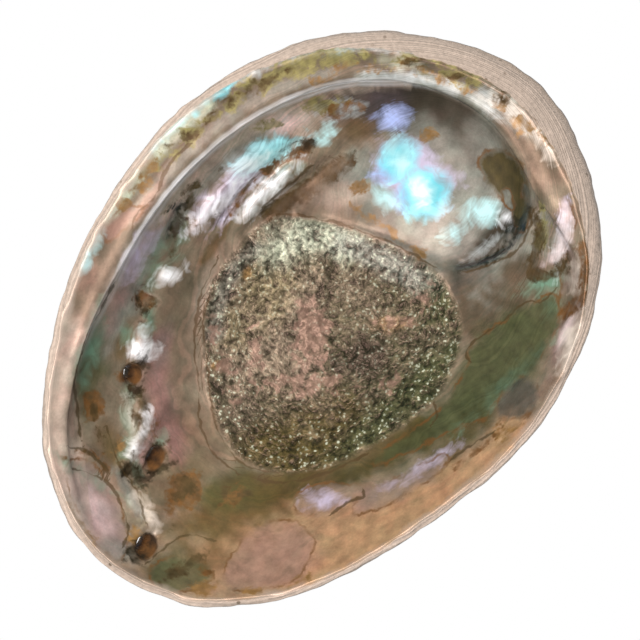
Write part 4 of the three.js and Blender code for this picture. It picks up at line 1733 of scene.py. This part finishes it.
    def lip(self) -> np.ndarray:
        """How far each vertex lies outside the crest, as seen from above, in millimetres."""
        return CREST_LINE.offset(self.drawn() - self.nudge)

    def covers(self) -> dict[Zone, np.ndarray]:
        """How far each vertex lies inside each zone that marks are kept to.

        Returns:
            Depths in millimetres by zone.
        """
        plan = self.drawn()
        scar = -SCAR_EDGE.offset(plan)
        return {
            Zone.ANY: np.full(len(plan), FAR),
            Zone.SCAR: scar,
            Zone.FLOOR: -scar,
            Zone.SHELF: self.lip() + self.overlap,
        }

    def paint(self) -> np.ndarray:
        """Soft colours of the pearly side, with some painted shade and painted light, laid on in order.

        Returns:
            Linear red, green, blue and alpha for each vertex.
        """
        plan = self.drawn()
        covers = self.covers()
        colour = np.tile(Tint.BEIGE.linear, (len(plan), 1))
        for zone, marks in MARKS:
            cover = smoothstep(-SEAM, SEAM, covers[zone])
            for mark in marks:
                if zone is Zone.SCAR or mark.tint not in (*STAIN_AND_SHADE_TINTS, *PAINTED_FLASH_TINTS):
                    share = (mark.mask(plan) * cover)[:, None]
                    colour = colour * (1 - share) + mark.tint.linear * share
        return np.hstack([colour, np.ones((len(plan), 1))])

    def stain(self) -> None:
        """Stores how deep each vertex lies in the patches, stains, painted shade and painted flashes of each
        colour.
        """
        plan = self.drawn()
        covers = self.covers()
        tints = (*PATCH_TINTS, *STAIN_AND_SHADE_TINTS, *PAINTED_FLASH_TINTS)
        depths = {tint: np.full(len(plan), -DEEPEST) for tint in tints}
        for patch in PATCHES:
            depths[patch.tint] = np.maximum(depths[patch.tint], patch.depth(plan))
        for zone, marks in MARKS:
            for mark in marks:
                if mark.tint in (*STAIN_AND_SHADE_TINTS, *PAINTED_FLASH_TINTS) and zone is not Zone.SCAR:
                    inner = np.minimum(mark.depth(plan), covers[zone])
                    depths[mark.tint] = np.maximum(depths[mark.tint], inner)
        for tint, depth in depths.items():
            self.store(tint.field, depth.clip(-DEEPEST, DEEPEST))

    def dress(self, finish: ShellFinish) -> None:
        """Gives the shell its attributes and its material.

        Args:
            finish: the finish that reads them.
        """
        places = self.places()
        plan = self.drawn()
        layer = self.piece.data.attributes.new("tint", "FLOAT_COLOR", "POINT")
        layer.data.foreach_set("color", self.paint().astype(np.float32).ravel())
        self.stain()
        self.store("scar", -SCAR_EDGE.offset(plan))
        self.store("edge", -RIM_EDGE.offset(places[:, :2]))
        self.store("lip", self.lip().clip(-self.lip_reach, self.lip_reach))
        self.store("cave", smoothstep(*self.cave, plan[:, 0]))
        # Where along the crest its painted highlight shows
        crest = smoothstep(*self.crest_front, plan[:, 0]) * smoothstep(*self.crest_back, plan[:, 0])
        self.store("crest", crest * smoothstep(*self.crest_low, plan[:, 1]))
        sides = np.array([line.offset(plan, DEEPEST) for line in DARK_LINES])
        nearest = np.take_along_axis(sides, np.abs(sides).argmin(axis=0)[None], axis=0)[0]
        self.store("side", nearest.clip(-DEEPEST, DEEPEST))
        self.store("line", np.abs(nearest).clip(0, DEEPEST))
        self.store("growth", self.age(places[:, :2]))
        flats = np.max([flat.depth(plan) for flat in SCAR_FLATS], axis=0)
        self.store("flat", flats.clip(-DEEPEST, DEEPEST))
        self.store("tunnel", self.tunnels().clip(-DEEPEST, DEEPEST))
        self.store("below", self.brim - places[:, 2])
        self.piece.data.materials.clear()
        self.piece.data.materials.append(finish.build())
        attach(self.piece, "root")
        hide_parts("shell")


@dataclass
class Studio:
    """White ground, lights and camera.

    Fields:
        turn: how far the camera is rolled about the view, in degrees.
        view: where the camera stands.
        width: width of the picture at the rim, in millimetres.
        sky: colour of the even light.
        sky_strength: strength of the even light.
        ground_size: width of the ground in metres.
        lit: the point that the lights face, in metres.
    """

    turn: float = -47.0
    view: Viewpoint = Viewpoint()
    width: float = 174.4
    sky: tuple[float, ...] = (0.92, 0.94, 1.0)
    sky_strength: float = 0.52
    ground_size: float = 6.0
    lit: tuple[float, float, float] = (0.0, 0.0, 0.02)

    def build(self) -> None:
        """Makes the ground, the lights and the camera."""
        self.ground()
        self.light("above", place=(-0.12, 0.18, 0.75), size=0.4, watts=6.0)
        self.light("side", place=(0.55, 0.35, 0.45), size=0.3, watts=0.8)
        world = bpy.data.worlds.new("room")
        bpy.context.scene.world = world
        world.use_nodes = True
        background = world.node_tree.nodes["Background"]
        background.inputs["Color"].default_value = (*self.sky, 1.0)
        background.inputs["Strength"].default_value = self.sky_strength
        self.camera()
        bpy.context.scene.view_settings.view_transform = "Standard"

    def ground(self) -> None:
        """Makes the white ground."""
        bpy.ops.mesh.primitive_plane_add(size=self.ground_size)
        ground = bpy.context.object
        ground.name = "ground"
        white = bpy.data.materials.new("ground")
        white.use_nodes = True
        board = Board(white.node_tree)
        glow = board.node("ShaderNodeEmission")
        glow.inputs["Strength"].default_value = 1.0
        board.join(glow.outputs["Emission"], board.output.inputs["Surface"])
        ground.data.materials.append(white)

    def light(self, name: str, place: tuple[float, float, float], size: float, watts: float) -> None:
        """Adds a soft light that points at the shell.

        Args:
            name: its name.
            place: where it is, in metres.
            size: width of its panel in metres.
            watts: its power.
        """
        lamp = bpy.data.lights.new(name, "AREA")
        lamp.shape = "DISK"
        lamp.size = size
        lamp.energy = watts
        holder = bpy.data.objects.new(name, lamp)
        bpy.context.scene.collection.objects.link(holder)
        holder.location = place
        aim = Vector(self.lit) - Vector(place)
        holder.rotation_euler = aim.to_track_quat("-Z", "Y").to_euler()

    def camera(self) -> None:
        """Adds the camera, which looks straight down."""
        lens = bpy.data.cameras.new("camera")
        lens.sensor_width = FILM_WIDTH
        lens.lens = FILM_WIDTH * self.view.eye / self.width
        holder = bpy.data.objects.new("camera", lens)
        bpy.context.scene.collection.objects.link(holder)
        holder.location = Vector((*self.view.aim, self.view.eye + self.view.rim)) * MM
        holder.rotation_euler = (0.0, 0.0, math.radians(self.turn))
        bpy.context.scene.camera = holder


def main() -> None:
    """Builds the shell and its surroundings."""
    logging.basicConfig(level=logging.INFO, format="%(name)s: %(message)s")
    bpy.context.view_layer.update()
    shell = Shell()
    piece = shell.build()
    log.info("shell built with %d faces", len(piece.data.polygons))
    shell.dress(ShellFinish())
    log.info("shell dressed")
    Studio().build()
    log.info("studio built")


if __name__ == "__main__":
    main()
